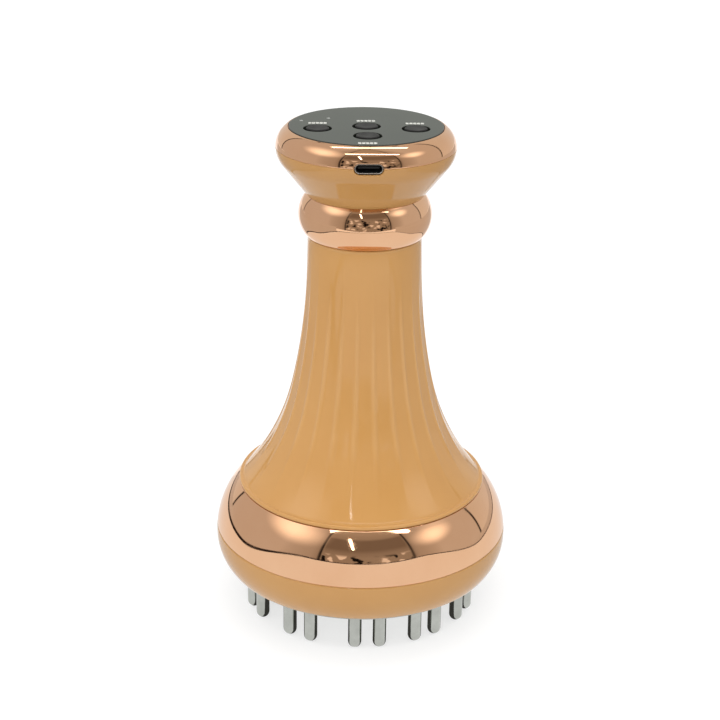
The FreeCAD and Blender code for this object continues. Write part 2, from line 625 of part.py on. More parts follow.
def handle_shell():
    """Hollow fluted handle with a skirt, four screw columns and a flange in its neck."""
    outer = Flare()
    inner = Flare(BODY_WALL)
    rim_r = outer.radius(Z_RIM_TOP) + RIM_OVER
    rim = lathe((0, Z_RING_TOP), (RING_TOP_R - RIM_ROUND, Z_RING_TOP),
                Bend((RING_TOP_R, Z_RING_TOP + RIM_ROUND), (rim_r, Z_RIM_TOP)), (0, Z_RIM_TOP))
    blank = fluted_core(outer).fuse([rim, disc(SKIRT_R, Z_FLANGE_TOP, Z_RING_TOP)])
    low = Z_FLANGE_TOP - OVERRUN
    neck = (inner.radius(Z_NECK_FLANGE), Z_NECK_FLANGE)
    cavity = lathe((0, low), (inner.end[0], low), inner.end, inner.bend(inner.end, inner.joint),
                   inner.bend(inner.joint, inner.start), neck, (0, Z_NECK_FLANGE))
    shell = blank.cut(cavity.common(disc(SKIRT_IN_R, low, Z_NECK_FLANGE)))
    columns = []
    for angle in BASE_ANGLES:
        column = disc(COLUMN_R, Z_DECK_TOP, Z_DECK_TOP + COLUMN_RISE, polar(BOLT_RING_R, angle))
        reach = SKIRT_IN_R + SKIRT_T / 2 - BOLT_RING_R
        rib = block(reach, RIB_T, Z_DECK_TOP, Z_DECK_TOP + COLUMN_RISE, V(BOLT_RING_R + reach / 2, 0, 0))
        columns += [column, turned_about(rib, angle)]
    shell = shell.fuse(columns)
    column_end = Z_DECK_TOP + SCREW_BITE + BOSS_SPARE
    tools = holes(BASE_ANGLES, BOLT_RING_R, SCREW_HOLE_R, Z_DECK_TOP - OVERRUN, column_end)
    low = Z_NECK_FLANGE - OVERRUN
    high = Z_NECK_TOP + OVERRUN
    tools += holes(NECK_ANGLES, NECK_BOLT_RING_R, SCREW_HOLE_R, low, high)
    tools.append(disc(NECK_HOLE_R, low, high))
    for angle in LEAD_ANGLES:
        tools.append(turned_about(block(NOTCH_R, NOTCH_W, low, high, V(NOTCH_R / 2, 0, 0)), angle))
    return shell.cut(tools).removeSplitter()


def neck_ring():
    """Plated bead round the head's spigot."""
    inner = SPIGOT_R + SLIP_GAP
    middle = (Z_NECK_TOP + Z_COLLAR_TOP) / 2
    return lathe((inner, Z_NECK_TOP), (COLLAR_END_R, Z_NECK_TOP),
                 Bend((COLLAR_R, middle), (COLLAR_END_R, Z_COLLAR_TOP)), (inner, Z_COLLAR_TOP))


def port_tool():
    """Cutting tool for the charging port's opening through the head's wall."""
    width = USB_W + 2 * PORT_GAP
    height = USB_H + 2 * PORT_GAP
    return rounded_bar(width, height, -HEAD_R - OVERRUN, -HEAD_IN_R + HEAD_WALL)


def rounded_bar(width, height, front, back):
    """Bar along Y at the port's height with fully rounded sides."""
    half = (width - height) / 2
    low = Z_HEAD_SEAM - height / 2
    high = Z_HEAD_SEAM + height / 2
    corners = [V(-half, front, low), V(half, front, low), V(half, front, high), V(-half, front, high)]
    right = Part.Arc(corners[1], V(width / 2, front, Z_HEAD_SEAM), corners[2])
    left = Part.Arc(corners[3], V(-width / 2, front, Z_HEAD_SEAM), corners[0])
    edges = [Part.LineSegment(corners[0], corners[1]).toShape(), right.toShape(),
             Part.LineSegment(corners[2], corners[3]).toShape(), left.toShape()]
    return Part.Face(Part.Wire(edges)).extrude(V(0, back - front, 0))


def head_shell():
    """Cone-shaped head with a spigot through the neck ring, board posts and a lip for the bezel."""
    across = HEAD_R - HEAD_BEND_R - HEAD_LOW_R
    angle = math.atan2(across, HEAD_RISE) + math.asin(HEAD_BEND_R / math.hypot(across, HEAD_RISE))
    turn = (HEAD_R - HEAD_BEND_R * (1 - math.cos(angle)), Z_HEAD_SEAM - HEAD_BEND_R * math.sin(angle))
    half = angle / 2
    middle = (HEAD_R - HEAD_BEND_R * (1 - math.cos(half)), Z_HEAD_SEAM - HEAD_BEND_R * math.sin(half))
    bend = Bend(middle, (HEAD_R, Z_HEAD_SEAM))
    lip_top = Z_LEDGE - HEAD_LIP_PLAY
    floor_r = HEAD_LOW_R + HEAD_FLOOR_T * math.tan(angle) - HEAD_WALL / math.cos(angle)
    cone_top = Z_HEAD_FLOOR + (HEAD_IN_R - floor_r) / math.tan(angle)
    shell = lathe((SPIGOT_IN_R, Z_NECK_TOP), (SPIGOT_R, Z_NECK_TOP), (SPIGOT_R, Z_COLLAR_TOP),
                  (HEAD_LOW_R, Z_COLLAR_TOP), turn, bend, (HEAD_LIP_R, Z_HEAD_SEAM), (HEAD_LIP_R, lip_top),
                  (HEAD_IN_R, lip_top), (HEAD_IN_R, cone_top), (floor_r, Z_HEAD_FLOOR),
                  (SPIGOT_IN_R, Z_HEAD_FLOOR))
    neck_boss_top = Z_NECK_TOP + SCREW_BITE + 2 * BOSS_SPARE
    bosses = holes(NECK_ANGLES, NECK_BOLT_RING_R, BOSS_R, Z_NECK_TOP, neck_boss_top)
    core = lathe((0, Z_COLLAR_TOP), (HEAD_LOW_R, Z_COLLAR_TOP), turn, bend, (0, Z_HEAD_SEAM))
    posts = holes(BOARD_ANGLES, BOARD_BOLT_RING_R, BOSS_R, Z_HEAD_FLOOR - HEAD_FLOOR_T / 2, Z_BOARD)
    shell = shell.fuse(bosses + [post.common(core) for post in posts])
    neck_hole_end = Z_NECK_TOP + SCREW_BITE + BOSS_SPARE
    tools = holes(NECK_ANGLES, NECK_BOLT_RING_R, SCREW_HOLE_R, Z_NECK_TOP - OVERRUN, neck_hole_end)
    board_hole_end = Z_BOARD - SCREW_BITE - BOSS_SPARE
    tools += holes(BOARD_ANGLES, BOARD_BOLT_RING_R, SCREW_HOLE_R, board_hole_end, Z_BOARD + OVERRUN)
    tools.append(port_tool())
    return shell.cut(tools).removeSplitter()


def neck_screws():
    """Screws through the handle's neck flange into the head."""
    return screws(NECK_ANGLES, NECK_BOLT_RING_R, Z_NECK_FLANGE, NECK_FLANGE_T + SCREW_BITE)


def head_bezel():
    """Plated ring that holds the panel, notched for the upper half of the port."""
    ledge_r = BEZEL_SEAT_R - BEZEL_LEDGE_W
    ring = lathe((HEAD_R, Z_HEAD_SEAM), BEZEL.bend(Z_HEAD_SEAM, Z_BEZEL_TOP), (BEZEL_SEAT_R, Z_BEZEL_TOP),
                 (BEZEL_SEAT_R, Z_PANEL), (ledge_r, Z_PANEL), (ledge_r, Z_LEDGE), (BEZEL_IN_R, Z_LEDGE),
                 (BEZEL_IN_R, Z_HEAD_SEAM))
    return ring.cut(port_tool())


def control_panel():
    """Glossy disc with holes for the buttons and the indicator lenses."""
    low = Z_PANEL - OVERRUN
    high = Z_PANEL_TOP + OVERRUN
    tools = [disc(BUTTON_R + BUTTON_GAP, low, high, V(x, y, 0)) for x, y in BUTTON_PLACES.values()]
    tools += [disc(LENS_R + SCREW_GAP, low, high, V(x, y, 0)) for x, y in LAMP_PLACES]
    return disc(PANEL_R, Z_PANEL, Z_PANEL_TOP).cut(tools)


def button(place):
    """Dished round cap with a rounded edge, a flange behind the panel and a stem on the switch."""
    centre = V(place[0], place[1], 0)
    half = math.sqrt(0.5)
    face_r = BUTTON_R - BUTTON_SHOULDER_W
    low = Z_BUTTON_TOP - BUTTON_SHOULDER_T
    shoulder = Bend((face_r + BUTTON_SHOULDER_W * half, low + BUTTON_SHOULDER_T * half), (face_r, Z_BUTTON_TOP))
    floor = Z_BUTTON_TOP - BUTTON_DISH
    ball_r = (face_r ** 2 + BUTTON_DISH ** 2) / (2 * BUTTON_DISH)
    dish = Bend((face_r / 2, floor + ball_r - math.sqrt(ball_r ** 2 - face_r ** 2 / 4)), (0, floor))
    flange_top = Z_BUTTON_FLANGE + BUTTON_FLANGE_T
    shape = lathe((0, Z_PLUNGER_TOP), (BUTTON_STEM_R, Z_PLUNGER_TOP), (BUTTON_STEM_R, Z_BUTTON_FLANGE),
                  (BUTTON_FLANGE_R, Z_BUTTON_FLANGE), (BUTTON_FLANGE_R, flange_top), (BUTTON_R, flange_top),
                  (BUTTON_R, low), shoulder, dish)
    return moved(shape, centre)


def plunger(place):
    """Switch plunger under a button's stem."""
    low = Z_BOARD_TOP + SWITCH_T - PLUNGER_DEPTH
    return disc(PLUNGER_R, low, Z_PLUNGER_TOP, V(place[0], place[1], 0))


def switch_housings():
    """Square push-switch housings on the board."""
    housings = []
    floor = Z_BOARD_TOP + SWITCH_T - PLUNGER_DEPTH - PLUNGER_CLEAR
    top = Z_BOARD_TOP + SWITCH_T
    for x, y in BUTTON_PLACES.values():
        centre = V(x, y, 0)
        bore = disc(PLUNGER_R + RUN_GAP, floor, top + OVERRUN, centre)
        housings.append(block(SWITCH_W, SWITCH_W, Z_BOARD_TOP, top, centre).cut(bore))
    return Part.makeCompound(housings)


def indicator_lamps():
    """Small light-emitting chips on the board."""
    top = Z_BOARD_TOP + LAMP_T
    return Part.makeCompound([block(LAMP_L, LAMP_W, Z_BOARD_TOP, top, V(x, y, 0)) for x, y in LAMP_PLACES])


def indicator_lenses():
    """Clear light guides from the lamps to the panel's face, each with a collar under the panel."""
    lenses = []
    low = Z_BOARD_TOP + LAMP_T + LENS_PLAY
    for x, y in LAMP_PLACES:
        centre = V(x, y, 0)
        collar = disc(LENS_COLLAR_R, Z_PANEL - LENS_COLLAR_T, Z_PANEL, centre)
        lenses.append(disc(LENS_R, low, Z_PANEL_TOP, centre).fuse(collar).removeSplitter())
    return Part.makeCompound(lenses)


def control_board():
    """Round board on the head's posts."""
    tools = holes(BOARD_ANGLES, BOARD_BOLT_RING_R, SCREW_HOLE_R, Z_BOARD - OVERRUN, Z_BOARD_TOP + OVERRUN)
    return disc(CONTROL_BOARD_R, Z_BOARD, Z_BOARD_TOP).cut(tools)


def board_screws():
    """Screws that point down through the board into the head's posts."""
    turned = screw(BOARD_T + SCREW_BITE)
    turned.rotate(ORIGIN, V(1, 0, 0), FULL_TURN / 2)
    places = [polar(BOARD_BOLT_RING_R, angle, Z_BOARD_TOP) for angle in BOARD_ANGLES]
    return Part.makeCompound([moved(turned, place) for place in places])


def control_chip():
    """Controller chip on the board."""
    return block(CHIP_W, CHIP_W, Z_BOARD_TOP, Z_BOARD_TOP + CHIP_T, V(CHIP_PLACE[0], CHIP_PLACE[1], 0))


def charge_coil():
    """Coil of the charging circuit on the board."""
    return disc(COIL_R, Z_BOARD_TOP, Z_BOARD_TOP + COIL_T, V(COIL_PLACE[0], COIL_PLACE[1], 0))


def usb_shell():
    """Metal shell of the charging port, open to the front."""
    front = -HEAD_R + USB_RECESS
    outer = rounded_bar(USB_W, USB_H, front, front + USB_D)
    inner = rounded_bar(USB_W - 2 * USB_WALL, USB_H - 2 * USB_WALL, front - OVERRUN, front + USB_D - USB_BACK)
    return outer.cut(inner)


def usb_tongue():
    """Contact tongue on the port's back wall."""
    back = -HEAD_R + USB_RECESS + USB_D - USB_BACK
    low = Z_HEAD_SEAM - TONGUE_T / 2
    return block(TONGUE_W, TONGUE_L, low, low + TONGUE_T, V(0, back - TONGUE_L / 2, 0))


def lithium_cell():
    """Round cell with softened edges."""
    return lathe((0, Z_CELL), (CELL_R - CELL_EDGE, Z_CELL), (CELL_R, Z_CELL + CELL_EDGE),
                 (CELL_R, Z_CELL_TOP - CELL_EDGE), (CELL_R - CELL_EDGE, Z_CELL_TOP), (0, Z_CELL_TOP))


def cell_tabs():
    """Welded strips at both ends of the cell, out to the leads."""
    reach = LEAD_RING_R + LEAD_R
    tabs = []
    for side, low in ((-1, Z_SHELF_TOP), (1, Z_CELL_TOP)):
        strip = block(reach, TAB_W, low, low + TAB_T, V(reach / 2, 0, 0))
        tabs.append(turned_about(strip, CELL_LEAD_ANGLE + side * LEAD_SPREAD))
    return Part.makeCompound(tabs)


def cell_pad():
    """Foam disc between the cell's upper tab and the neck flange."""
    return disc(PAD_R, Z_NECK_FLANGE - PAD_T, Z_NECK_FLANGE)


def inner_frame():
    """Moulded frame: a deck, a tube for the motor, a shelf and a cradle for the cell."""
    shelf = Z_SHELF_TOP - SHELF_T
    stop_top = Z_MOTOR_TOP + STOP_T
    frame = lathe((TUBE_IN_R, Z_FLANGE_TOP), (SKIRT_IN_R - SLIP_GAP, Z_FLANGE_TOP),
                  (SKIRT_IN_R - SLIP_GAP, Z_DECK_TOP), (TUBE_R, Z_DECK_TOP), (TUBE_R, Z_SHELF_TOP),
                  (0, Z_SHELF_TOP), (0, shelf), (TUBE_IN_R, shelf), (TUBE_IN_R, stop_top), (STOP_R, stop_top),
                  (STOP_R, Z_MOTOR_TOP), (TUBE_IN_R, Z_MOTOR_TOP))
    cradle = disc(CRADLE_R, Z_SHELF_TOP, Z_CRADLE_TOP)
    cradle = cradle.cut(disc(CRADLE_IN_R, Z_SHELF_TOP - OVERRUN, Z_CRADLE_TOP + OVERRUN))
    gap = Part.makeCylinder(CRADLE_R + OVERRUN, Z_CRADLE_TOP - Z_SHELF_TOP + 2 * OVERRUN,
                            V(0, 0, Z_SHELF_TOP - OVERRUN), UP, CRADLE_OPEN_ANGLE)
    cradle = cradle.cut(turned_about(gap, CELL_LEAD_ANGLE - CRADLE_OPEN_ANGLE / 2))
    boss_top = Z_DECK_TOP + BOSS_SPARE + SCREW_BITE - DECK_T
    frame = frame.fuse([cradle] + holes(RETAINER_ANGLES, RETAINER_BOLT_RING_R, BOSS_R, Z_DECK_TOP, boss_top))
    low = Z_FLANGE_TOP - OVERRUN
    tools = holes(BASE_ANGLES, BOLT_RING_R, SCREW_HOLE_R, low, Z_DECK_TOP + OVERRUN)
    tools += holes(RETAINER_ANGLES, RETAINER_BOLT_RING_R, SCREW_HOLE_R, low, boss_top + OVERRUN)
    tools += holes(PIN_LEAD_ANGLES, PIN_LEAD_IN_R, LEAD_HOLE_R, low, Z_DECK_TOP + OVERRUN)
    window = block(TUBE_R, WINDOW_W, stop_top, shelf, V(TUBE_R, 0, 0))
    tools.append(turned_about(window, MOTOR_LEAD_ANGLE))
    return frame.cut(tools).removeSplitter()


def motor_retainer():
    """Plate under the deck that closes the motor's tube."""
    low = Z_RETAINER - OVERRUN
    high = Z_FLANGE_TOP + OVERRUN
    tools = holes(RETAINER_ANGLES, RETAINER_BOLT_RING_R, SCREW_HOLE_R, low, high)
    tools.append(disc(RETAINER_HOLE_R, low, high))
    return disc(RETAINER_R, Z_RETAINER, Z_FLANGE_TOP).cut(tools)


def retainer_screws():
    """Screws through the retainer into the frame."""
    return screws(RETAINER_ANGLES, RETAINER_BOLT_RING_R, Z_RETAINER, RETAINER_T + SCREW_BITE)


def motor_can():
    """Steel cup with the lower bearing in its face."""
    inner = MOTOR_R - MOTOR_WALL
    face = Z_FLANGE_TOP + MOTOR_FACE_T
    bore = SHAFT_R + RUN_GAP
    return lathe((bore, Z_FLANGE_TOP), (MOTOR_R, Z_FLANGE_TOP), (MOTOR_R, Z_CAN_TOP), (inner, Z_CAN_TOP),
                 (inner, face), (bore, face))


def motor_end_cap():
    """Plastic cap with the upper bearing."""
    bore = SHAFT_R + RUN_GAP
    return lathe((bore, Z_CAN_TOP), (MOTOR_R, Z_CAN_TOP), (MOTOR_R, Z_MOTOR_TOP), (0, Z_MOTOR_TOP),
                 (0, Z_CAN_TOP + BEARING_DEPTH), (bore, Z_CAN_TOP + BEARING_DEPTH))


def motor_terminals():
    """Two tags on the end cap, one to each lead."""
    top = Z_MOTOR_TOP + TERMINAL_RISE
    tag = block(TERMINAL_T, TERMINAL_W, Z_MOTOR_TOP, top, V(TERMINAL_RING_R, 0, 0))
    angles = (MOTOR_LEAD_ANGLE - 2 * LEAD_SPREAD, MOTOR_LEAD_ANGLE + 2 * LEAD_SPREAD)
    return Part.makeCompound([turned_about(tag, angle) for angle in angles])


def motor_magnets():
    """Two curved magnets inside the can."""
    low = Z_FLANGE_TOP + MOTOR_FACE_T
    ring = disc(MAGNET_R, low, low + MAGNET_L).cut(disc(MAGNET_IN_R, low - OVERRUN, low + MAGNET_L + OVERRUN))
    wedge = Part.makeCylinder(MOTOR_R, MAGNET_L, V(0, 0, low), UP, MAGNET_ANGLE)
    magnet = ring.common(wedge)
    return Part.makeCompound([turned_about(magnet, angle) for angle in spread(2)])


def motor_shaft():
    """Shaft from the weight up to the end cap's bearing."""
    bearing_end = Z_CAN_TOP + BEARING_DEPTH - RUN_GAP
    return disc(SHAFT_R, Z_WEIGHT_TOP - WEIGHT_T, bearing_end)


def motor_armature():
    """Slotted core on the shaft."""
    low = Z_ARMATURE - OVERRUN
    high = Z_ARMATURE_TOP + OVERRUN
    tools = [disc(SHAFT_R + PRESS_GAP, low, high)]
    slot = block(2 * SLOT_DEPTH, SLOT_W, low, high, V(ARMATURE_R, 0, 0))
    tools += [turned_about(slot, angle) for angle in spread(ARMATURE_SLOT_COUNT)]
    return disc(ARMATURE_R, Z_ARMATURE, Z_ARMATURE_TOP).cut(tools)


def motor_commutator():
    """Contact drum on the shaft above the core."""
    top = Z_ARMATURE_TOP + COMMUTATOR_L
    drum = disc(COMMUTATOR_R, Z_ARMATURE_TOP, top)
    return drum.cut(disc(SHAFT_R + PRESS_GAP, Z_ARMATURE_TOP - OVERRUN, top + OVERRUN))


def eccentric_weight():
    """Half disc on a hub at the shaft's lower end."""
    low = Z_WEIGHT_TOP - WEIGHT_T
    half = Part.makeCylinder(WEIGHT_R, WEIGHT_T, V(0, 0, low), UP, FULL_TURN / 2)
    body = half.fuse(disc(WEIGHT_HUB_R, low, Z_WEIGHT_TOP)).removeSplitter()
    return body.cut(disc(SHAFT_R + PRESS_GAP, low - OVERRUN, Z_WEIGHT_TOP + OVERRUN))


def lead(angle, stations):
    """Round lead in the upright plane at an angle, along (radius, height) points with round corners."""
    points = [polar(radius, angle, z) for radius, z in stations]
    edges = []
    here = points[0]
    for before, corner, after in zip(points, points[1:], points[2:]):
        back = (before - corner).normalize()
        onward = (after - corner).normalize()
        half = back.getAngle(onward) / 2
        reach = LEAD_BEND_R / math.tan(half)
        middle = (back + onward).normalize() * (LEAD_BEND_R / math.sin(half) - LEAD_BEND_R)
        start = corner + back * reach
        stop = corner + onward * reach
        edges.append(Part.LineSegment(here, start).toShape())
        edges.append(Part.Arc(start, corner + middle, stop).toShape())
        here = stop
    edges.append(Part.LineSegment(here, points[-1]).toShape())
    section = Part.Face(Part.Wire([Part.makeCircle(LEAD_R, points[0], points[1] - points[0])]))
    return Part.Wire(edges).makePipe(section)


def lead_pair(angle, *routes):
    """Two leads, one to each side of an angle."""
    angles = (angle - LEAD_SPREAD, angle + LEAD_SPREAD)
    return Part.makeCompound([lead(place, route) for place, route in zip(angles, routes)])


def cell_leads():
    """Leads from the cell's tabs to the control board."""
    low = ((LEAD_RING_R, Z_SHELF_TOP + TAB_T), (LEAD_RING_R, Z_BOARD))
    high = ((LEAD_RING_R, Z_CELL_TOP + TAB_T), (LEAD_RING_R, Z_BOARD))
    return lead_pair(CELL_LEAD_ANGLE, low, high)


def motor_leads():
    """Leads from the motor's tags through the tube's window to the control board."""
    start = Z_MOTOR_TOP + TERMINAL_RISE + LEAD_R
    turn = Z_SHELF_TOP + LEAD_SWEEP_RISE
    route = ((TERMINAL_RING_R, start), (MOTOR_LEAD_OUT_R, start), (MOTOR_LEAD_OUT_R, start + MOTOR_LEAD_RISE),
             (LEAD_RING_R, turn), (LEAD_RING_R, Z_BOARD))
    return lead_pair(MOTOR_LEAD_ANGLE, route, route)


def electrode_leads():
    """Leads from the electrode board through the deck to the control board."""
    start = PIN_RING_R - PIN_BOARD_HALF_W + PIN_LEAD_PAD
    run = (Z_STUD_TOP + Z_FLANGE) / 2
    turn = Z_SHELF_TOP + LEAD_SWEEP_RISE
    route = ((start, Z_PIN_BOARD_TOP), (start, run), (PIN_LEAD_IN_R, run),
             (PIN_LEAD_IN_R, Z_DECK_TOP + PIN_LEAD_RISE), (LEAD_RING_R, turn), (LEAD_RING_R, Z_BOARD))
    return lead_pair(PIN_LEAD_ANGLE, route, route)


def main():
    """Build every piece and write one file for each."""
    os.makedirs("parts", exist_ok=True)
    pieces = {
        "pins_positive": pins(-1),
        "pins_negative": pins(1),
    }
    for place, centre in BUTTON_PLACES.items():
        pieces["button_" + place] = button(centre)
        pieces["plunger_" + place] = plunger(centre)
    for make in (pin_plate, plate_screws, electrode_board, pin_nuts, base_shell, base_screws, base_ring,
                 handle_shell, neck_ring, neck_screws, head_shell, head_bezel, control_panel,
                 switch_housings, indicator_lamps, indicator_lenses, control_board, board_screws,
                 control_chip, charge_coil, usb_shell, usb_tongue, lithium_cell, cell_tabs, cell_pad,
                 inner_frame, motor_retainer, retainer_screws, motor_can, motor_end_cap, motor_terminals,
                 motor_magnets, motor_shaft, motor_armature, motor_commutator, eccentric_weight,
                 cell_leads, motor_leads, electrode_leads):
        pieces[make.__name__] = make()
    for name, shape in pieces.items():
        shape.exportStep("parts/" + name + ".step")
        print(name, "solids", len(shape.Solids), "volume", round(shape.Volume, 2), "valid", shape.isValid())


main()
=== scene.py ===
import logging
import math
from dataclasses import dataclass, field
from enum import Enum
from typing import Sequence

import bmesh
import bpy
import numpy as np
from mathutils import Matrix, Vector
from mathutils.geometry import delaunay_2d_cdt


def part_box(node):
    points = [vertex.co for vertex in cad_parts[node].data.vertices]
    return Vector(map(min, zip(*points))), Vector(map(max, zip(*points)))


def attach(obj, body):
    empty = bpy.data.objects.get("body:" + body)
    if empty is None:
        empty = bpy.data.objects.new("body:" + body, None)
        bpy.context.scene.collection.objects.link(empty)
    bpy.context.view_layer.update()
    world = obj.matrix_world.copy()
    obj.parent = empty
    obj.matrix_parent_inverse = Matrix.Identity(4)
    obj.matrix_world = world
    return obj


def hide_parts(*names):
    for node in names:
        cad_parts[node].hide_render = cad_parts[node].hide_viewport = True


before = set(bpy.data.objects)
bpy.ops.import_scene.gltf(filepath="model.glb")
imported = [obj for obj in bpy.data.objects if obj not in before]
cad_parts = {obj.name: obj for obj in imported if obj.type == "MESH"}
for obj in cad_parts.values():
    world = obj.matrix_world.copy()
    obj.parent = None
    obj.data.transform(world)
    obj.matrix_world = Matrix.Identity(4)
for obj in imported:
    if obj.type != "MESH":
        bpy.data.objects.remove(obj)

LOG = logging.getLogger("meridian_brush")
MM = 0.001                      # millimetres to metres
MERGE = 1e-7                    # metres, points closer than this are one
LEVEL = 0.9999                  # upward part of the normal beyond which a face is level
SHARP = math.radians(40)        # edges that turn by more stay crisp
CRISP, SOFT, BROAD = 0.1, 0.2, 0.3      # millimetres, roundings of small edges
ARC_DIP = 0.3                   # share of its radius by which an arc's middle lies inside its corner
GUARD = 1.5                     # place of the points beside an arc, as a share of its reach
HIDDEN_STEPS = 4                # points along the arc of an edge that hardly shows
FRONT = -math.pi / 2            # angle of the charging port about the axis
FULL_TURN = 2 * math.pi
LEVELS, SHARES = (-1, 1), (0, 1)        # lowest and highest part of a direction, and of noise
TONE_SPAN = (0.3, 0.7)          # noise between which a colour goes from its first tone to its second
GLOSS_SPAN = (0.35, 0.65)       # noise between which the roughness goes from its lowest to its highest
GLOSS_DETAIL, RELIEF_DETAIL, DRIFT_DETAIL = 3.0, 2.0, 4.0       # octaves of the noise behind each
DRIFT_FALL = 0.55               # weight of each finer octave in the noise behind the colour
WEIGHT, FIRST, SECOND, MIXED = 0, 6, 7, 2       # sockets of a Mix node for colours, three in and one out

# Sizes in millimetres that neighbouring sub-assemblies share
WIDEST_R, WIDEST_Z = 50.35, 25.5        # widest circle of the base
BAND_R, BAND_Z = 42.2, 45.2             # upper edge of the band, on which the handle stands
NECK_LOW, NECK_TOP = 133.4, 147.3       # lower and upper edge of the neck ring
HEAD_R, SEAM_Z = 29.25, 162.9           # widest circle of the head, where cone and bezel meet
FLUTES = 24                             # flutes round the handle

Corner = tuple[float, float, float]
Place = tuple[float, float]
Stops = tuple[tuple[float, str], ...]
Tree = bpy.types.NodeTree
Socket = bpy.types.NodeSocket


class Body(Enum):
    """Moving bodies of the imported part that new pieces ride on."""

    BRUSH = "brush"
    LEFT = "button_left"
    BACK = "button_back"
    RIGHT = "button_right"
    FRONT = "button_front"


BUTTONS = (Body.LEFT, Body.BACK, Body.RIGHT, Body.FRONT)


# Finishes


def linear(tone: str) -> tuple[float, float, float, float]:
    """Turns a screen tone into the linear colour that shaders use, by the formula of sRGB.

    Args:
        tone: Tone as # and six hexadecimal digits.

    Returns:
        Linear red, green and blue, and an alpha of one.
    """
    screen = np.array([int(tone[start:start + 2], 16) for start in (1, 3, 5)]) / 255
    light = np.where(screen <= 0.04045, screen / 12.92, ((screen + 0.055) / 1.055) ** 2.4)
    return (float(light[0]), float(light[1]), float(light[2]), 1.0)


def per_metre(size_mm: float) -> float:
    """Texture scale whose pattern repeats about once in a size in millimetres."""
    return 1 / (size_mm * MM)


def add_node(tree: Tree, kind: str, inputs: dict | None = None, **settings) -> bpy.types.Node:
    """Adds a node and sets it up.

    Args:
        tree: Node tree that gets the node.
        kind: Blender's name of the node type.
        inputs: Value, or output socket to link, for each input by name or number.
        settings: Attributes of the node.

    Returns:
        The new node.
    """
    node = tree.nodes.new(kind)
    for name, value in settings.items():
        setattr(node, name, value)
    for name, value in (inputs or {}).items():
        if isinstance(value, Socket):
            tree.links.new(value, node.inputs[name])
        else:
            node.inputs[name].default_value = value
    return node


@dataclass(frozen=True)
class Finish:
    """Surface of one material: two tones, gloss that varies, and a fine relief.

    Attributes:
        name: Material name, for the real material and how its surface was made.
        tones: Darker and lighter tone between which the colour drifts.
        drift_mm: Size of the colour's patches.
        metallic: One for bare or plated metal.
        ior: Index of refraction.
        gloss: Lowest and highest roughness.
        gloss_mm: Size of the roughness patches.
        relief_mm: Size of the relief's grain.
        relief_depth: Depth of the relief in millimetres.
        stretch: Scale of the grain along X, Y and Z, for marks that run one way.
        clear: Share of light that passes through.
        backlight: Brightness of its own light.
    """

    name: str
    tones: tuple[str, str]
    drift_mm: float = 20.0
    metallic: float = 0.0
    ior: float = 1.5
    gloss: tuple[float, float] = (0.4, 0.5)
    gloss_mm: float = 6.0
    relief_mm: float = 1.0
    relief_depth: float = 0.002
    stretch: tuple[float, float, float] = (1.0, 1.0, 1.0)
    clear: float = 0.0
    backlight: float = 0.0

    def material(self) -> bpy.types.Material:
        """Finds the finish's material, or makes it the first time.

        Returns:
            Material with its nodes.
        """
        known = bpy.data.materials.get(self.name)
        if known is not None:
            return known
        material = bpy.data.materials.new(self.name)
        material.use_nodes = True
        tree = material.node_tree
        tree.nodes.clear()
        place = add_node(tree, "ShaderNodeTexCoord").outputs["Object"]
        add_node(tree, "ShaderNodeOutputMaterial", {"Surface": self.surface(tree, place)})
        return material

    def surface(self, tree: Tree, place: Socket) -> Socket:
        """Shader with the finish's colour, a roughness that varies in patches, and a fine relief.

        Args:
            tree: Material's node tree.
            place: Position on the object.

        Returns:
            Shader socket.
        """
        grain = add_node(tree, "ShaderNodeMapping", {"Vector": place, "Scale": self.stretch})
        patches, marks = [
            add_node(tree, "ShaderNodeTexNoise", {
                "Vector": grain.outputs["Vector"], "Scale": per_metre(size), "Detail": detail}).outputs["Fac"]
            for size, detail in ((self.gloss_mm, GLOSS_DETAIL), (self.relief_mm, RELIEF_DETAIL))]
        (low, high), (smooth, rough) = GLOSS_SPAN, self.gloss
        gloss = add_node(tree, "ShaderNodeMapRange", {
            "Value": patches, "From Min": low, "From Max": high, "To Min": smooth, "To Max": rough})
        relief = add_node(tree, "ShaderNodeBump", {"Height": marks, "Distance": self.relief_depth * MM})
        shader = add_node(tree, "ShaderNodeBsdfPrincipled", {
            "Base Color": self.colour(tree, place), "Roughness": gloss.outputs["Result"],
            "Normal": relief.outputs["Normal"], "Metallic": self.metallic, "IOR": self.ior,
            "Transmission Weight": self.clear, "Emission Color": linear("#FFFFFF"),
            "Emission Strength": self.backlight,
        })
        return shader.outputs["BSDF"]

    def colour(self, tree: Tree, place: Socket) -> Socket:
        """Colour that drifts between the two tones in soft patches.

        Args:
            tree: Material's node tree.
            place: Position on the object.

        Returns:
            Colour socket.
        """
        patches = add_node(tree, "ShaderNodeTexNoise", {
            "Vector": place, "Scale": per_metre(self.drift_mm), "Detail": DRIFT_DETAIL,
            "Roughness": DRIFT_FALL})
        ramp = add_node(tree, "ShaderNodeValToRGB", {"Fac": patches.outputs["Fac"]})
        for stop, position, tone in zip(ramp.color_ramp.elements, TONE_SPAN, self.tones):
            stop.position = position
            stop.color = linear(tone)
        return ramp.outputs["Color"]


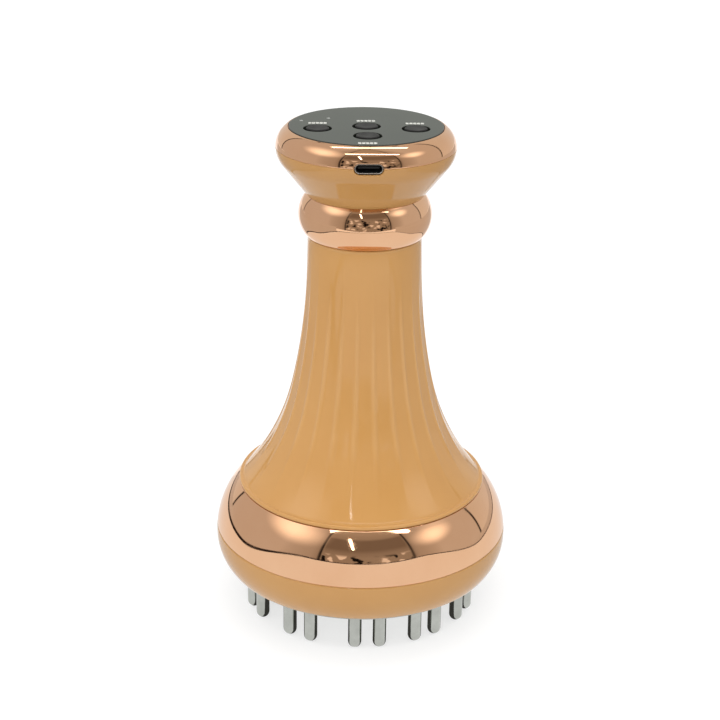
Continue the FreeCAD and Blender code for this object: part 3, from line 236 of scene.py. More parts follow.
@dataclass(frozen=True)
class SolderMask(Finish):
    """Circuit board lacquer with copper tracks that show through as paler lines.

    Attributes:
        track: Tone of the tracks.
        track_mm: Spacing of the tracks.
        track_span: Part of the comb's wave between which lacquer turns to track.
        wander: How far the tracks stray from straight lines.
        wander_detail: Octaves of that straying.
    """

    track: str = "#3F7A50"
    track_mm: float = 2.5
    track_span: Place = (0.78, 0.86)
    wander: float = 2.5
    wander_detail: float = 1.0

    def colour(self, tree: Tree, place: Socket) -> Socket:
        """Lacquer tone with tracks in a wavy comb.

        Args:
            tree: Material's node tree.
            place: Position on the object.

        Returns:
            Colour socket.
        """
        comb = add_node(tree, "ShaderNodeTexWave", {
            "Vector": place, "Scale": per_metre(self.track_mm) / FULL_TURN, "Distortion": self.wander,
            "Detail": self.wander_detail})
        ramp = add_node(tree, "ShaderNodeValToRGB", {"Fac": comb.outputs["Fac"]})
        tones = self.tones[0], self.track
        for stop, position, tone in zip(ramp.color_ramp.elements, self.track_span, tones):
            stop.position = position
            stop.color = linear(tone)
        return ramp.outputs["Color"]


@dataclass(frozen=True)
class RidgeHighlightFinish(Finish):
    """Moulding with a painted highlight: a faint pale line along each ridge between two flutes, standing in
    for the reflection that the ridges catch.

    Attributes:
        flutes: Number of flutes round the upright axis, with ridges half a flute from the front.
        ridge_share: Half width of a painted highlight line as a share of a flute.
        ridge_tone: Tone of the painted highlight.
        ridge_weight: Part of that tone in the highlight's middle.
        full_mm: Lowest and highest height at which the lines are full.
        fade_mm: Reach over which they fade below and above.
    """

    flutes: int = FLUTES
    ridge_share: float = 0.2
    ridge_tone: str = "#F2D2A4"
    ridge_weight: float = 0.085
    full_mm: tuple[float, float] = (70.0, 99.0)
    fade_mm: tuple[float, float] = (9.0, 17.0)

    def colour(self, tree: Tree, place: Socket) -> Socket:
        """Body colour with a painted highlight, a pale line, on each ridge.

        The flute number is the angle about the axis times the flutes in a turn; its fraction is a
        half on a ridge.

        Args:
            tree: Material's node tree.
            place: Position on the object.

        Returns:
            Colour socket.
        """
        axes = add_node(tree, "ShaderNodeSeparateXYZ", {"Vector": place})
        off = add_node(tree, "ShaderNodeMath", {0: axes.outputs["X"], 1: axes.outputs["Y"]},
                       operation="ARCTAN2").outputs["Value"]
        for operation, other in (("MULTIPLY", self.flutes / FULL_TURN), ("FRACT", 0.0), ("SUBTRACT", 0.5),
                                 ("ABSOLUTE", 0.0)):
            off = add_node(tree, "ShaderNodeMath", {0: off, 1: other}, operation=operation).outputs["Value"]
        # Weight of the painted highlight across the flute, full on the ridge
        weight = add_node(tree, "ShaderNodeMapRange", {
            "Value": off, "From Min": self.ridge_share, "From Max": 0.0,
            "To Max": self.ridge_weight}, interpolation_type="SMOOTHSTEP").outputs["Result"]
        for full, fade in zip(self.full_mm, (-self.fade_mm[0], self.fade_mm[1])):
            reach = add_node(tree, "ShaderNodeMapRange", {
                "Value": axes.outputs["Z"], "From Min": (full + fade) * MM, "From Max": full * MM},
                interpolation_type="SMOOTHSTEP")
            weight = add_node(tree, "ShaderNodeMath", {0: weight, 1: reach.outputs["Result"]},
                              operation="MULTIPLY").outputs["Value"]
        mix = add_node(tree, "ShaderNodeMix", {
            WEIGHT: weight, FIRST: super().colour(tree, place), SECOND: linear(self.ridge_tone)},
            data_type="RGBA")
        return mix.outputs[MIXED]


@dataclass(frozen=True)
class Glow(Finish):
    """Evenly lit sheet of the studio, whose tone doesn't depend on the lamps."""

    def surface(self, tree: Tree, place: Socket) -> Socket:
        """Shader that shines evenly in the sheet's colour.

        Args:
            tree: Material's node tree.
            place: Position on the object.

        Returns:
            Shader socket.
        """
        return add_node(tree, "ShaderNodeEmission", {"Color": self.colour(tree, place)}).outputs["Emission"]


# Marks finer than a tenth of a millimetre on the real material are drawn at 0.1 to 0.6 mm, so that they show

# Injection-moulded ABS from a polished mould: warm beige, sharp reflections that waver slightly; its tones
# are a little darker than the handle's, as painted shade on the bowl and cone, which face downward
BEIGE_ABS_SHADED = Finish("abs_moulded_high_gloss_painted_shade", ("#B7884F", "#BD8F56"), drift_mm=38, gloss=(0.05, 0.09),
                   gloss_mm=14, relief_mm=9, relief_depth=0.004)
# The same ABS on the handle, a little lighter as painted light, since the handle is lit more than the bowl
# and cone, with a painted highlight: a faint pale line on each ridge between two flutes
FLUTED_ABS_PAINTED_LIGHT = RidgeHighlightFinish("abs_moulded_fluted_painted_highlight", ("#C08F53", "#C6965A"), drift_mm=38,
                          gloss=(0.05, 0.09), gloss_mm=14, relief_mm=9, relief_depth=0.004)
# Bright plating on moulded ABS: a mirror with the moulding's slight waves and faint smudges
ROSE_GOLD = Finish("abs_rose_gold_electroplated", ("#E8B68E", "#EEBF99"), drift_mm=26, metallic=1.0,
                   gloss=(0.035, 0.075), gloss_mm=9, relief_mm=11, relief_depth=0.004)
# Cast acrylic tinted black, lacquered flat: deep, with a clear mirror image at a low angle
SMOKED_ACRYLIC = Finish("acrylic_smoked_polished", ("#232722", "#2A2E28"), drift_mm=17, ior=1.49,
                        gloss=(0.03, 0.07), gloss_mm=7, relief_mm=16, relief_depth=0.003)
# Button caps in ABS from an etched mould: matt and near black, so they read darker than the panel
BUTTON_ABS = Finish("abs_button_etched", ("#090A0A", "#0F1010"), drift_mm=4, gloss=(0.46, 0.56),
                    gloss_mm=3, relief_mm=0.4, relief_depth=0.002)
# ABS from a spark-eroded mould: light grey and matt with a fine even grain
PALE_ABS = Finish("abs_moulded_spark_eroded", ("#A3A49B", "#ADAEA5"), drift_mm=24, ior=1.53,
                  gloss=(0.42, 0.52), relief_mm=0.35, relief_depth=0.006)
# Turned and tumbled stainless steel: bright but not a mirror, with fine rings left by the lathe
PIN_STEEL = Finish("stainless_turned_tumbled", ("#AFB1AB", "#BEC0BA"), drift_mm=5, metallic=1.0,
                   gloss=(0.07, 0.13), gloss_mm=1.4, relief_mm=2.2, relief_depth=0.002, stretch=(1, 1, 12))
# Deep-drawn stainless steel of the port's shell: plated, with faint draw lines from front to back
PORT_STEEL = Finish("stainless_drawn_plated", ("#AFB0AE", "#C4C5C2"), drift_mm=2, metallic=1.0,
                    gloss=(0.22, 0.32), gloss_mm=1.2, relief_mm=0.8, relief_depth=0.002, stretch=(6, 1, 6))
# Glass-filled black plastic of switches, chip and port tongue: dull with pale specks
BLACK_PLASTIC = Finish("nylon_black_glass_filled", ("#101112", "#1C1D1E"), drift_mm=0.6, ior=1.53,
                       gloss=(0.45, 0.6), relief_mm=0.3, relief_depth=0.005)
# Moulded clear acrylic with a frosted end: milky where the light guide meets the panel's face
CLEAR_ACRYLIC = Finish("acrylic_light_guide_frosted", ("#AFB3B0", "#C4C7C4"), drift_mm=0.7, ior=1.49,
                       gloss=(0.25, 0.35), gloss_mm=0.5, relief_mm=0.3, relief_depth=0.003, clear=0.35)
# Yellow phosphor under cast resin: warm and grainy under a clear gloss
LAMP_RESIN = Finish("epoxy_cast_phosphor", ("#D9C45A", "#E6D67C"), drift_mm=0.4, gloss=(0.15, 0.25),
                    relief_mm=0.3, relief_depth=0.004)
# Glass-fibre board under green lacquer, tracks showing as paler lines
CIRCUIT_BOARD = SolderMask("glass_fibre_solder_masked", ("#1F5A34", "#266A3E"), ior=1.55, gloss=(0.25, 0.35),
                           relief_mm=0.6, relief_depth=0.004)
# Pressed ferrite powder, tumbled: dark grey and finely pitted
FERRITE = Finish("ferrite_sintered_tumbled", ("#2B2C2E", "#3A3B3D"), drift_mm=1.2, ior=2.2, gloss=(0.5, 0.65),
                 relief_mm=0.25, relief_depth=0.01)
# Shrink film over the cell's steel can: blue, glossy, slightly wrinkled along its length
CELL_WRAP = Finish("film_shrunk_printed", ("#1F4E7D", "#2A5F93"), drift_mm=22, ior=1.54, gloss=(0.18, 0.3),
                   gloss_mm=5, relief_mm=4, relief_depth=0.02, stretch=(1, 1, 0.2))
# Rolled nickel strip: silvery with a warm cast, dulled in patches by the weld
NICKEL_STRIP = Finish("nickel_rolled_strip", ("#A9A69D", "#BEBBB3"), drift_mm=1.5, metallic=1.0,
                      gloss=(0.25, 0.4), gloss_mm=0.8, relief_mm=0.6, relief_depth=0.004)
# Open foam, die cut: black and fully matt with visible cells
FOAM = Finish("polyurethane_foam_die_cut", ("#1B1B1B", "#2E2E2E"), drift_mm=0.8, ior=1.45, gloss=(0.9, 1.0),
              relief_mm=0.5, relief_depth=0.12)
# Natural ABS of the hidden frame: ivory, satin, with flow lines from the gate
FRAME_ABS = Finish("abs_natural_moulded", ("#D8D2BF", "#E2DDCC"), drift_mm=30, ior=1.53, gloss=(0.35, 0.45),
                   relief_mm=0.8, relief_depth=0.005)
# Deep-drawn zinc-plated steel of the motor and its core: bluish grey with faint upright draw lines
MOTOR_STEEL = Finish("steel_drawn_zinc_plated", ("#94979A", "#A9ACAE"), drift_mm=6, metallic=1.0,
                     gloss=(0.28, 0.4), gloss_mm=2, relief_mm=1.5, relief_depth=0.004, stretch=(1, 1, 0.25))
# Machined brass: yellow, satin, with fine tool marks round the axis
BRASS = Finish("brass_machined", ("#B99655", "#C9A768"), drift_mm=3, metallic=1.0, gloss=(0.2, 0.32),
               gloss_mm=1.2, relief_mm=0.7, relief_depth=0.004, stretch=(1, 1, 6))
# Cold-headed steel screws, zinc plated and passivated: pale with a yellowish cast
SCREW_STEEL = Finish("steel_cold_headed_passivated", ("#A8A598", "#BBB8AC"), drift_mm=1.0, metallic=1.0,
                     gloss=(0.3, 0.42), gloss_mm=0.7, relief_mm=0.5, relief_depth=0.003)
# Extruded PVC of the leads: red, softly glossy, drawn along its length
LEAD_PVC = Finish("pvc_extruded", ("#8E2320", "#A32C28"), drift_mm=3, ior=1.54, gloss=(0.32, 0.42),
                  relief_mm=0.6, relief_depth=0.006, stretch=(1, 1, 0.2))
# Screen-printed ink: off-white, matt, with the mesh's fine unevenness
PRINT_INK = Finish("ink_screen_printed", ("#C2C4BE", "#CFD1CB"), drift_mm=0.5, gloss=(0.45, 0.6),
                   gloss_mm=0.4, relief_mm=0.2, relief_depth=0.003)
# Opal sheet of the studio's light table: white and matt, lit from below so that shadows stay pale
OPAL_TABLE = Finish("acrylic_opal_backlit", ("#98999A", "#9C9D9E"), drift_mm=180, ior=1.49, gloss=(0.8, 0.9),
                    gloss_mm=40, relief_mm=1.5, relief_depth=0.01, backlight=0.66)
# Lit card of the studio: an even white that gives the plating its pale lower half
CARD = Glow("card_matt_lit", ("#F6F6F5", "#FAFAFA"), drift_mm=400)
# Laminated bench beside the card: a plain light grey
BENCH = Glow("bench_laminate_grey", ("#CCC8C4", "#D2CFCB"), drift_mm=400)
# Dark sheet under the base: painted shade that stands for the shadow under the base, so that the pins get
# their dark flanks
UNDER_BASE_SHADE = Glow("painted_shade_under_base", ("#444340", "#4C4B48"), drift_mm=60)
# Dark strip along the card's top edge: painted shade of the card's edge, a dark line in the plating
CARD_TOP_SHADE = Glow("painted_shade_along_card_top", ("#2A2522", "#342E2A"), drift_mm=60)


# Shapes worked out on grids


def rounded(corners: Sequence[Corner], steps: int = 6) -> np.ndarray:
    """Closed outline whose corners are arcs.

    Each arc touches both sides of its corner at a reach of its radius over the tangent of half the
    corner's angle. A guard point lies half a reach further out on each side and keeps flat sides flat.

    Args:
        corners: Radius, height and rounding of each corner in order.
        steps: Points along one arc.

    Returns:
        Points as rows of radius and height.
    """
    places = np.array([corner[:2] for corner in corners], dtype=float)
    rows = []
    for index, (_, _, rounding) in enumerate(corners):
        here = places[index]
        if rounding == 0:
            rows.append(here[None])
            continue
        back = places[index - 1] - here
        onward = places[(index + 1) % len(places)] - here
        back, onward = back / np.linalg.norm(back), onward / np.linalg.norm(onward)
        half = np.arccos(np.clip(back @ onward, -1, 1)) / 2
        reach = rounding / np.tan(half)
        middle = (back + onward) / np.linalg.norm(back + onward)
        centre = here + middle * rounding / np.sin(half)
        arms = np.array([back, onward]) * reach + here - centre
        first, last = np.arctan2(arms[:, 1], arms[:, 0])
        turn = (last - first + np.pi) % FULL_TURN - np.pi
        angles = first + turn * np.linspace(0, 1, steps)
        arc = centre + rounding * np.column_stack((np.cos(angles), np.sin(angles)))
        guards = here + np.array([back, onward]) * reach * GUARD
        rows += [guards[:1], arc, guards[1:]]
    return np.concatenate(rows)


def eased(share: np.ndarray) -> np.ndarray:
    """Smooth step from nought to one: three times the share's square less twice its cube."""
    held = np.clip(share, 0, 1)
    return held ** 2 * (3 - 2 * held)


def stretch_of(outline: np.ndarray) -> list[Corner]:
    """Points of a smooth stretch as corners with no rounding."""
    return [(float(radius), float(height), 0.0) for radius, height in outline]


def turned(outline: np.ndarray, columns: int, centre: Place = (0.0, 0.0)) -> np.ndarray:
    """Grid of an outline turned about an upright axis: x and y are radius times cosine and sine.

    Args:
        outline: Rows of radius and height.
        columns: Steps round the axis.
        centre: Place of the axis.

    Returns:
        Points by column and row.
    """
    angles = np.linspace(0, FULL_TURN, columns, endpoint=False)
    return swept(angles, np.tile(outline[:, 0], (columns, 1)), np.tile(outline[:, 1], (columns, 1)), centre)


def swept(angles: np.ndarray, radii: np.ndarray, heights: np.ndarray,
          centre: Place = (0.0, 0.0)) -> np.ndarray:
    """Grid of sections that stand at angles round an upright axis.

    Args:
        angles: Angle of each section.
        radii: Radius by section and row.
        heights: Height by section and row.
        centre: Place of the axis.

    Returns:
        Points by section and row.
    """
    x = centre[0] + radii * np.cos(angles)[:, None]
    y = centre[1] + radii * np.sin(angles)[:, None]
    return np.stack((x, y, heights), axis=-1)


def sections(angles: np.ndarray, stretches: Sequence[Sequence[np.ndarray]]) -> np.ndarray:
    """Grid of sections round the upright axis, each made of stretches laid end to end.

    Args:
        angles: Angle of each section.
        stretches: Radii and heights of each stretch, by section and row, or by row where all are alike.

    Returns:
        Points by section and row.
    """
    radii, heights = [
        np.concatenate([np.broadcast_to(part, (len(angles), np.shape(part)[-1])) for part in side], axis=1)
        for side in zip(*stretches)]
    return swept(angles, radii, heights)


class Skin:
    """Surface gathered from grids and flat faces, then made into one closed mesh."""

    def __init__(self) -> None:
        """Starts with no points."""
        self.points: list[np.ndarray] = []
        self.faces: list[np.ndarray] = []
        self.count = 0

    def add_points(self, points: np.ndarray) -> int:
        """Adds points in millimetres.

        Args:
            points: Rows of x, y and z.

        Returns:
            Number of the first one.
        """
        first = self.count
        self.points.append(points)
        self.count += len(points)
        return first

    def add_grid(self, grid: np.ndarray, along: bool = True) -> None:
        """Adds a grid that closes round its columns.

        Args:
            grid: Points by column and row.
            along: Whether each column's last row meets its first.
        """
        columns, rows = grid.shape[:2]
        first = self.add_points(grid.reshape(-1, 3))
        column = np.arange(columns)[:, None]
        row = np.arange(rows if along else rows - 1)[None]
        here, there = column * rows, (column + 1) % columns * rows
        up = (row + 1) % rows
        corners = np.stack((here + row, there + row, there + up, here + up), axis=-1)
        self.faces.append(first + corners.reshape(-1, 4))

    def add_copies(self, grid: np.ndarray, offsets: np.ndarray) -> None:
        """Adds a closed grid once for each offset.

        Args:
            grid: Points by column and row.
            offsets: Rows of x and y.
        """
        for offset in offsets:
            self.add_grid(grid + np.array([offset[0], offset[1], 0.0]))

    def mesh(self, name: str) -> bpy.types.Mesh:
        """Makes the mesh, merges seams and poles and turns its faces outwards.

        Args:
            name: Name of the mesh.

        Returns:
            Smooth-shaded mesh in metres.
        """
        mesh = bpy.data.meshes.new(name)
        sides = np.concatenate([np.full(len(faces), faces.shape[1]) for faces in self.faces])
        mesh.vertices.add(self.count)
        mesh.vertices.foreach_set("co", (np.concatenate(self.points) * MM).ravel())
        mesh.loops.add(int(sides.sum()))
        mesh.loops.foreach_set("vertex_index", np.concatenate([faces.ravel() for faces in self.faces]))
        mesh.polygons.add(len(sides))
        mesh.polygons.foreach_set("loop_start", np.concatenate(([0], np.cumsum(sides)[:-1])))
        mesh.update(calc_edges=True)
        shape = bmesh.new()
        shape.from_mesh(mesh)
        bmesh.ops.remove_doubles(shape, verts=shape.verts, dist=MERGE)
        bmesh.ops.recalc_face_normals(shape, faces=shape.faces)
        shape.to_mesh(mesh)
        shape.free()
        mesh.polygons.foreach_set("use_smooth", np.ones(len(mesh.polygons), dtype=bool))
        mesh.update()
        return mesh


@dataclass(frozen=True)
class Hole:
    """Round hole in a flat disc.

    Attributes:
        place: Centre of the hole.
        wall: Radius and height of the wall from the lower face to the upper one.
    """

    place: Place
    wall: np.ndarray


@dataclass(frozen=True)
class PiercedDisc:
    """Flat disc with holes: two flat faces, an edge and the holes' walls.

    Attributes:
        edge: Radius and height of the edge from the lower face to the upper one.
        holes: Holes through the disc.
        columns: Steps round the edge.
        hole_columns: Steps round a hole.
    """

    edge: np.ndarray
    holes: Sequence[Hole]
    columns: int = 256
    hole_columns: int = 48

    def skin(self) -> Skin:
        """Gathers the edge, the walls and both faces.

        Returns:
            Closed surface.
        """
        skin = Skin()
        loops = [turned(self.edge, self.columns)]
        loops += [turned(hole.wall, self.hole_columns, hole.place) for hole in self.holes]
        for loop in loops:
            skin.add_grid(loop, along=False)
        for end in (0, -1):
            self.add_face(skin, [loop[:, end] for loop in loops], end)
        return skin

    def mesh(self, name: str) -> bpy.types.Mesh:
        """Makes the mesh, with its level faces shaded flat and its edges and walls smooth.

        Args:
            name: Name of the mesh.

        Returns:
            Mesh in metres.
        """
        mesh = self.skin().mesh(name)
        mesh.set_sharp_from_angle(angle=SHARP)
        normals = np.empty(3 * len(mesh.polygons))
        mesh.polygons.foreach_get("normal", normals)
        mesh.polygons.foreach_set("use_smooth", np.abs(normals[2::3]) < LEVEL)
        return mesh

    def add_face(self, skin: Skin, loops: Sequence[np.ndarray], end: int) -> None:
        """Fills one flat face between the edge and the holes with triangles.

        Args:
            skin: Surface that gets the face.
            loops: Points round the edge, then round each hole.
            end: Row of the walls that meets this face, first or last.
        """
        rims = np.concatenate(loops)
        sizes = [len(loop) for loop in loops]
        starts = np.concatenate(([0], np.cumsum(sizes)[:-1]))
        edges = np.concatenate([
            np.column_stack((start + np.arange(size), start + (np.arange(size) + 1) % size))
            for start, size in zip(starts, sizes)])
        flat = delaunay_2d_cdt([Vector(point) for point in rims[:, :2]], edges.tolist(), [], 0, MERGE)
        points = np.array([tuple(point) for point in flat[0]])
        triangles = np.array(flat[2])
        middles = points[triangles].mean(axis=1)
        inside = np.hypot(middles[:, 0], middles[:, 1]) < self.edge[end, 0]
        for hole in self.holes:
            away = middles - np.array(hole.place)
            inside &= np.hypot(away[:, 0], away[:, 1]) > hole.wall[end, 0]
        first = skin.add_points(np.column_stack((points, np.full(len(points), rims[0, 2]))))
        skin.faces.append(first + triangles[inside])


def add_object(name: str, data: bpy.types.ID) -> bpy.types.Object:
    """Adds an object to the scene.

    Args:
        name: Name of the object.
        data: Its mesh, light or camera.

    Returns:
        The new object.
    """
    thing = bpy.data.objects.new(name, data)
    bpy.context.collection.objects.link(thing)
    return thing


def add_piece(name: str, mesh: bpy.types.Mesh, finish: Finish, nodes: Sequence[str],
              body: Body = Body.BRUSH) -> None:
    """Shows a mesh as a piece of the object.

    Args:
        name: Name of the piece.
        mesh: Its mesh, in place.
        finish: Its finish.
        nodes: Solids that it stands for.
        body: Body that it moves with.
    """
    piece = add_object(name, mesh)
    mesh.materials.append(finish.material())
    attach(piece, body.value)
    if nodes:
        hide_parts(*nodes)
    LOG.info("%s: %d faces, %s", name, len(mesh.polygons), finish.name)


def add_shell(name: str, grid: np.ndarray, finish: Finish, node: str,
              body: Body = Body.BRUSH) -> None:
    """Shows one closed grid as a piece that stands for one solid.

    Args:
        name: Name of the piece.
        grid: Points by column and row, in millimetres.
        finish: Its finish.
        node: Solid that it stands for.
        body: Body that it moves with.
    """
    skin = Skin()
    skin.add_grid(grid)
    add_piece(name, skin.mesh(name), finish, [node], body)


@dataclass(frozen=True)
class Swell:
    """Arc that stands upright at its widest circle and curves in to an end circle.

    Attributes:
        widest_r: Radius of the widest circle.
        widest_z: Height of the widest circle.
        end_r: Radius of the end circle.
        end_z: Height of the end circle.
    """

    widest_r: float
    widest_z: float
    end_r: float
    end_z: float

    @property
    def bend_r(self) -> float:
        """Radius of the arc, from its reach across and along."""
        across, along = self.widest_r - self.end_r, self.end_z - self.widest_z
        return (along ** 2 + across ** 2) / (2 * across)

    def radius(self, z: np.ndarray, inset: float = 0.0) -> np.ndarray:
        """Radius at heights: the arc's centre plus its circle, less an inset.

        Args:
            z: Heights.
            inset: Distance inside the arc.

        Returns:
            Radius at each height.
        """
        return self.widest_r - self.bend_r + np.sqrt((self.bend_r - inset) ** 2 - (z - self.widest_z) ** 2)

    def outline(self, low: float, high: float, count: int, inset: float = 0.0) -> np.ndarray:
        """Points of the arc between two heights, as rows of radius and height."""
        z = np.linspace(low, high, count)
        return np.column_stack((self.radius(z, inset), z))


# Sub-assemblies


@dataclass(frozen=True)
class Base:
    """Bowl, plated band, pin plate and pins; sizes in millimetres."""

    bowl: Swell = Swell(WIDEST_R, WIDEST_Z, 46.6, 15.1)
    band: Swell = Swell(WIDEST_R, WIDEST_Z, BAND_R, BAND_Z)
    seam_z: float = 28.5
    seam_round: float = 0.3
    seam_edge: float = 0.08
    bowl_wall: float = 2.2
    band_wall: float = 2.0
    rim_w: float = 1.4
    foot_round: float = 0.45
    foot_run: float = 1.0               # height at which the bowl's arc takes over from its foot
    arc_gap: float = 0.3                # between the rows of both arcs at the widest circle
    step_w: float = 1.2                 # step inside the bowl that the plate lies against
    step_h: float = 1.8
    step_run: float = 2.0
    edge_w: float = 1.5
    edge_round: float = 0.35
    edge_run: float = 0.9
    inner_runs: Place = (0.8, 0.6)      # that the band's inner arc leaves free at its edge and at the seam
    plate_low: float = 13.8
    plate_top: float = 17.0
    plate_r: float = 45.05
    plate_round: float = 0.3
    screw_ring_r: float = 32.0
    screw_count: int = 4
    screw_recess_r: float = 2.15
    screw_hole_r: float = 1.15
    screw_sink: float = 1.7
    pin_r: float = 2.25
    pin_gap: float = 0.06
    pin_ring_r: float = 39.0
    pair_count: int = 11
    pair_angle: float = math.radians(12.2)
    pair_shift_shares: tuple[float, ...] = (0.064, 0.006, -0.07, 0, 0, 0, 0, 0, 0, -0.043, -0.003)
    pin_flange_r: float = 3.1
    pin_flange_t: float = 0.9
    shank_share: float = 0.5            # height of the shank's first row as a share of the plate's top
    stud_r: float = 1.0
    stud_top: float = 21.9
    columns: int = 256
    bowl_rows: int = 26
    lip_rows: int = 8
    step_rows: int = 10
    band_rows: int = 72
    inner_rows: int = 16
    pin_columns: int = 32
    dome_rows: int = 9

    def build(self) -> None:
        """Builds and dresses the pieces of the base."""
        self.add_bowl()
        self.add_band()
        self.add_plate()
        self.add_pins("pins_positive", -1)
        self.add_pins("pins_negative", 1)

    def add_bowl(self) -> None:
        """Bowl: the lower arc up to the widest circle, the band's arc to the seam, then a wall inside."""
        bowl, band, seam_r = self.bowl, self.band, float(self.band.radius(self.seam_z))
        seat_r = bowl.end_r - self.rim_w
        step_r = seat_r - self.step_w
        outline = rounded(
            [(seat_r, bowl.end_z, BROAD), (bowl.end_r, bowl.end_z, self.foot_round)]
            + stretch_of(bowl.outline(bowl.end_z + self.foot_run, bowl.widest_z - self.arc_gap,
                                      self.bowl_rows))
            + stretch_of(band.outline(bowl.widest_z, self.seam_z - self.seam_round, self.lip_rows))
            + [(seam_r - self.seam_round, self.seam_z, CRISP), (seam_r - self.bowl_wall, self.seam_z, CRISP)]
            + stretch_of(bowl.outline(bowl.widest_z, self.plate_top + self.step_run, self.step_rows,
                                      self.bowl_wall))
            + [(step_r, self.plate_top + self.step_h, SOFT), (step_r, self.plate_top, SOFT),
               (seat_r, self.plate_top, SOFT)])
        add_shell("bowl", turned(outline, self.columns), BEIGE_ABS_SHADED, "base_shell")

    def add_band(self) -> None:
        """Plated band: its outer arc, a flat upper edge and the same arc inside by the wall."""
        band, seam_r = self.band, float(self.band.radius(self.seam_z))
        top, edge_r = band.end_z, band.end_r - self.edge_w
        inner_top = band.widest_z + math.sqrt((band.bend_r - self.band_wall) ** 2
                                              - (edge_r - band.widest_r + band.bend_r) ** 2)
        free_top, free_low = self.inner_runs
        outline = rounded(
            [(seam_r - self.seam_round, self.seam_z, self.seam_edge)]
            + stretch_of(band.outline(self.seam_z + self.seam_round, top - self.edge_run, self.band_rows))
            + [(band.end_r, top, self.edge_round), (edge_r, top, SOFT), (edge_r, inner_top, SOFT)]
            + stretch_of(band.outline(inner_top - free_top, self.seam_z + free_low, self.inner_rows,
                                      self.band_wall))
            + [(float(band.radius(self.seam_z, self.band_wall)), self.seam_z, CRISP)])
        add_shell("base_band", turned(outline, self.columns), ROSE_GOLD, "base_ring")

    def pin_places(self, side: int) -> np.ndarray:
        """Places of the pins on one side of the pairs, whose spacing is a little uneven.

        Each pair stands at its even step plus its share of a step.

        Args:
            side: Minus one or one.

        Returns:
            Rows of x and y.
        """
        steps = np.arange(self.pair_count) + np.array(self.pair_shift_shares)
        angles = FRONT + FULL_TURN * steps / self.pair_count + side * self.pair_angle / 2
        return self.pin_ring_r * np.column_stack((np.cos(angles), np.sin(angles)))

    def add_plate(self) -> None:
        """Pin plate: a disc with softened lower edges, pin holes and stepped screw holes."""
        low, top, soft = self.plate_low, self.plate_top, self.plate_round
        edge = np.array([(self.plate_r - soft, low), (self.plate_r - soft * ARC_DIP, low + soft * ARC_DIP),
                         (self.plate_r, low + soft), (self.plate_r, top)])
        pin_hole = self.pin_r + self.pin_gap
        wall = np.array([(pin_hole + soft / 2, low), (pin_hole, low + soft / 2), (pin_hole, top)])
        seat = low + self.screw_sink
        stepped = np.array([(self.screw_recess_r + soft / 2, low), (self.screw_recess_r, low + soft / 2),
                            (self.screw_recess_r, seat), (self.screw_hole_r, seat), (self.screw_hole_r, top)])
        pins = np.concatenate((self.pin_places(-1), self.pin_places(1)))
        turns = FULL_TURN * np.arange(self.screw_count) / self.screw_count
        screws = self.screw_ring_r * np.column_stack((np.cos(turns), np.sin(turns)))
        holes = [Hole((float(x), float(y)), wall) for x, y in pins]
        holes += [Hole((float(x), float(y)), stepped) for x, y in screws]
        mesh = PiercedDisc(edge, holes, hole_columns=self.pin_columns).mesh("plate")
        add_piece("plate", mesh, PALE_ABS, ["pin_plate"])

    def add_pins(self, node: str, side: int) -> None:
        """Pins: a domed end, a straight shank, a flange behind the plate and a stud.

        Args:
            node: Solid that holds these pins.
            side: Side of the pairs, minus one or one.
        """
        dome = np.linspace(0, np.pi / 2, self.dome_rows)
        tip = np.column_stack((self.pin_r * np.sin(dome), self.pin_r * (1 - np.cos(dome))))
        flange_low, flange_top = self.plate_top, self.plate_top + self.pin_flange_t
        shank = rounded([(self.pin_r, flange_low * self.shank_share, 0.0), (self.pin_r, flange_low, CRISP),
                         (self.pin_flange_r, flange_low, CRISP), (self.pin_flange_r, flange_top, CRISP),
                         (self.stud_r, flange_top, CRISP), (self.stud_r, self.stud_top, SOFT),
                         (0.0, self.stud_top, 0.0)], HIDDEN_STEPS)
        skin = Skin()
        skin.add_copies(turned(np.concatenate((tip, shank)), self.pin_columns), self.pin_places(side))
        add_piece(node + "_turned", skin.mesh(node), PIN_STEEL, [node])


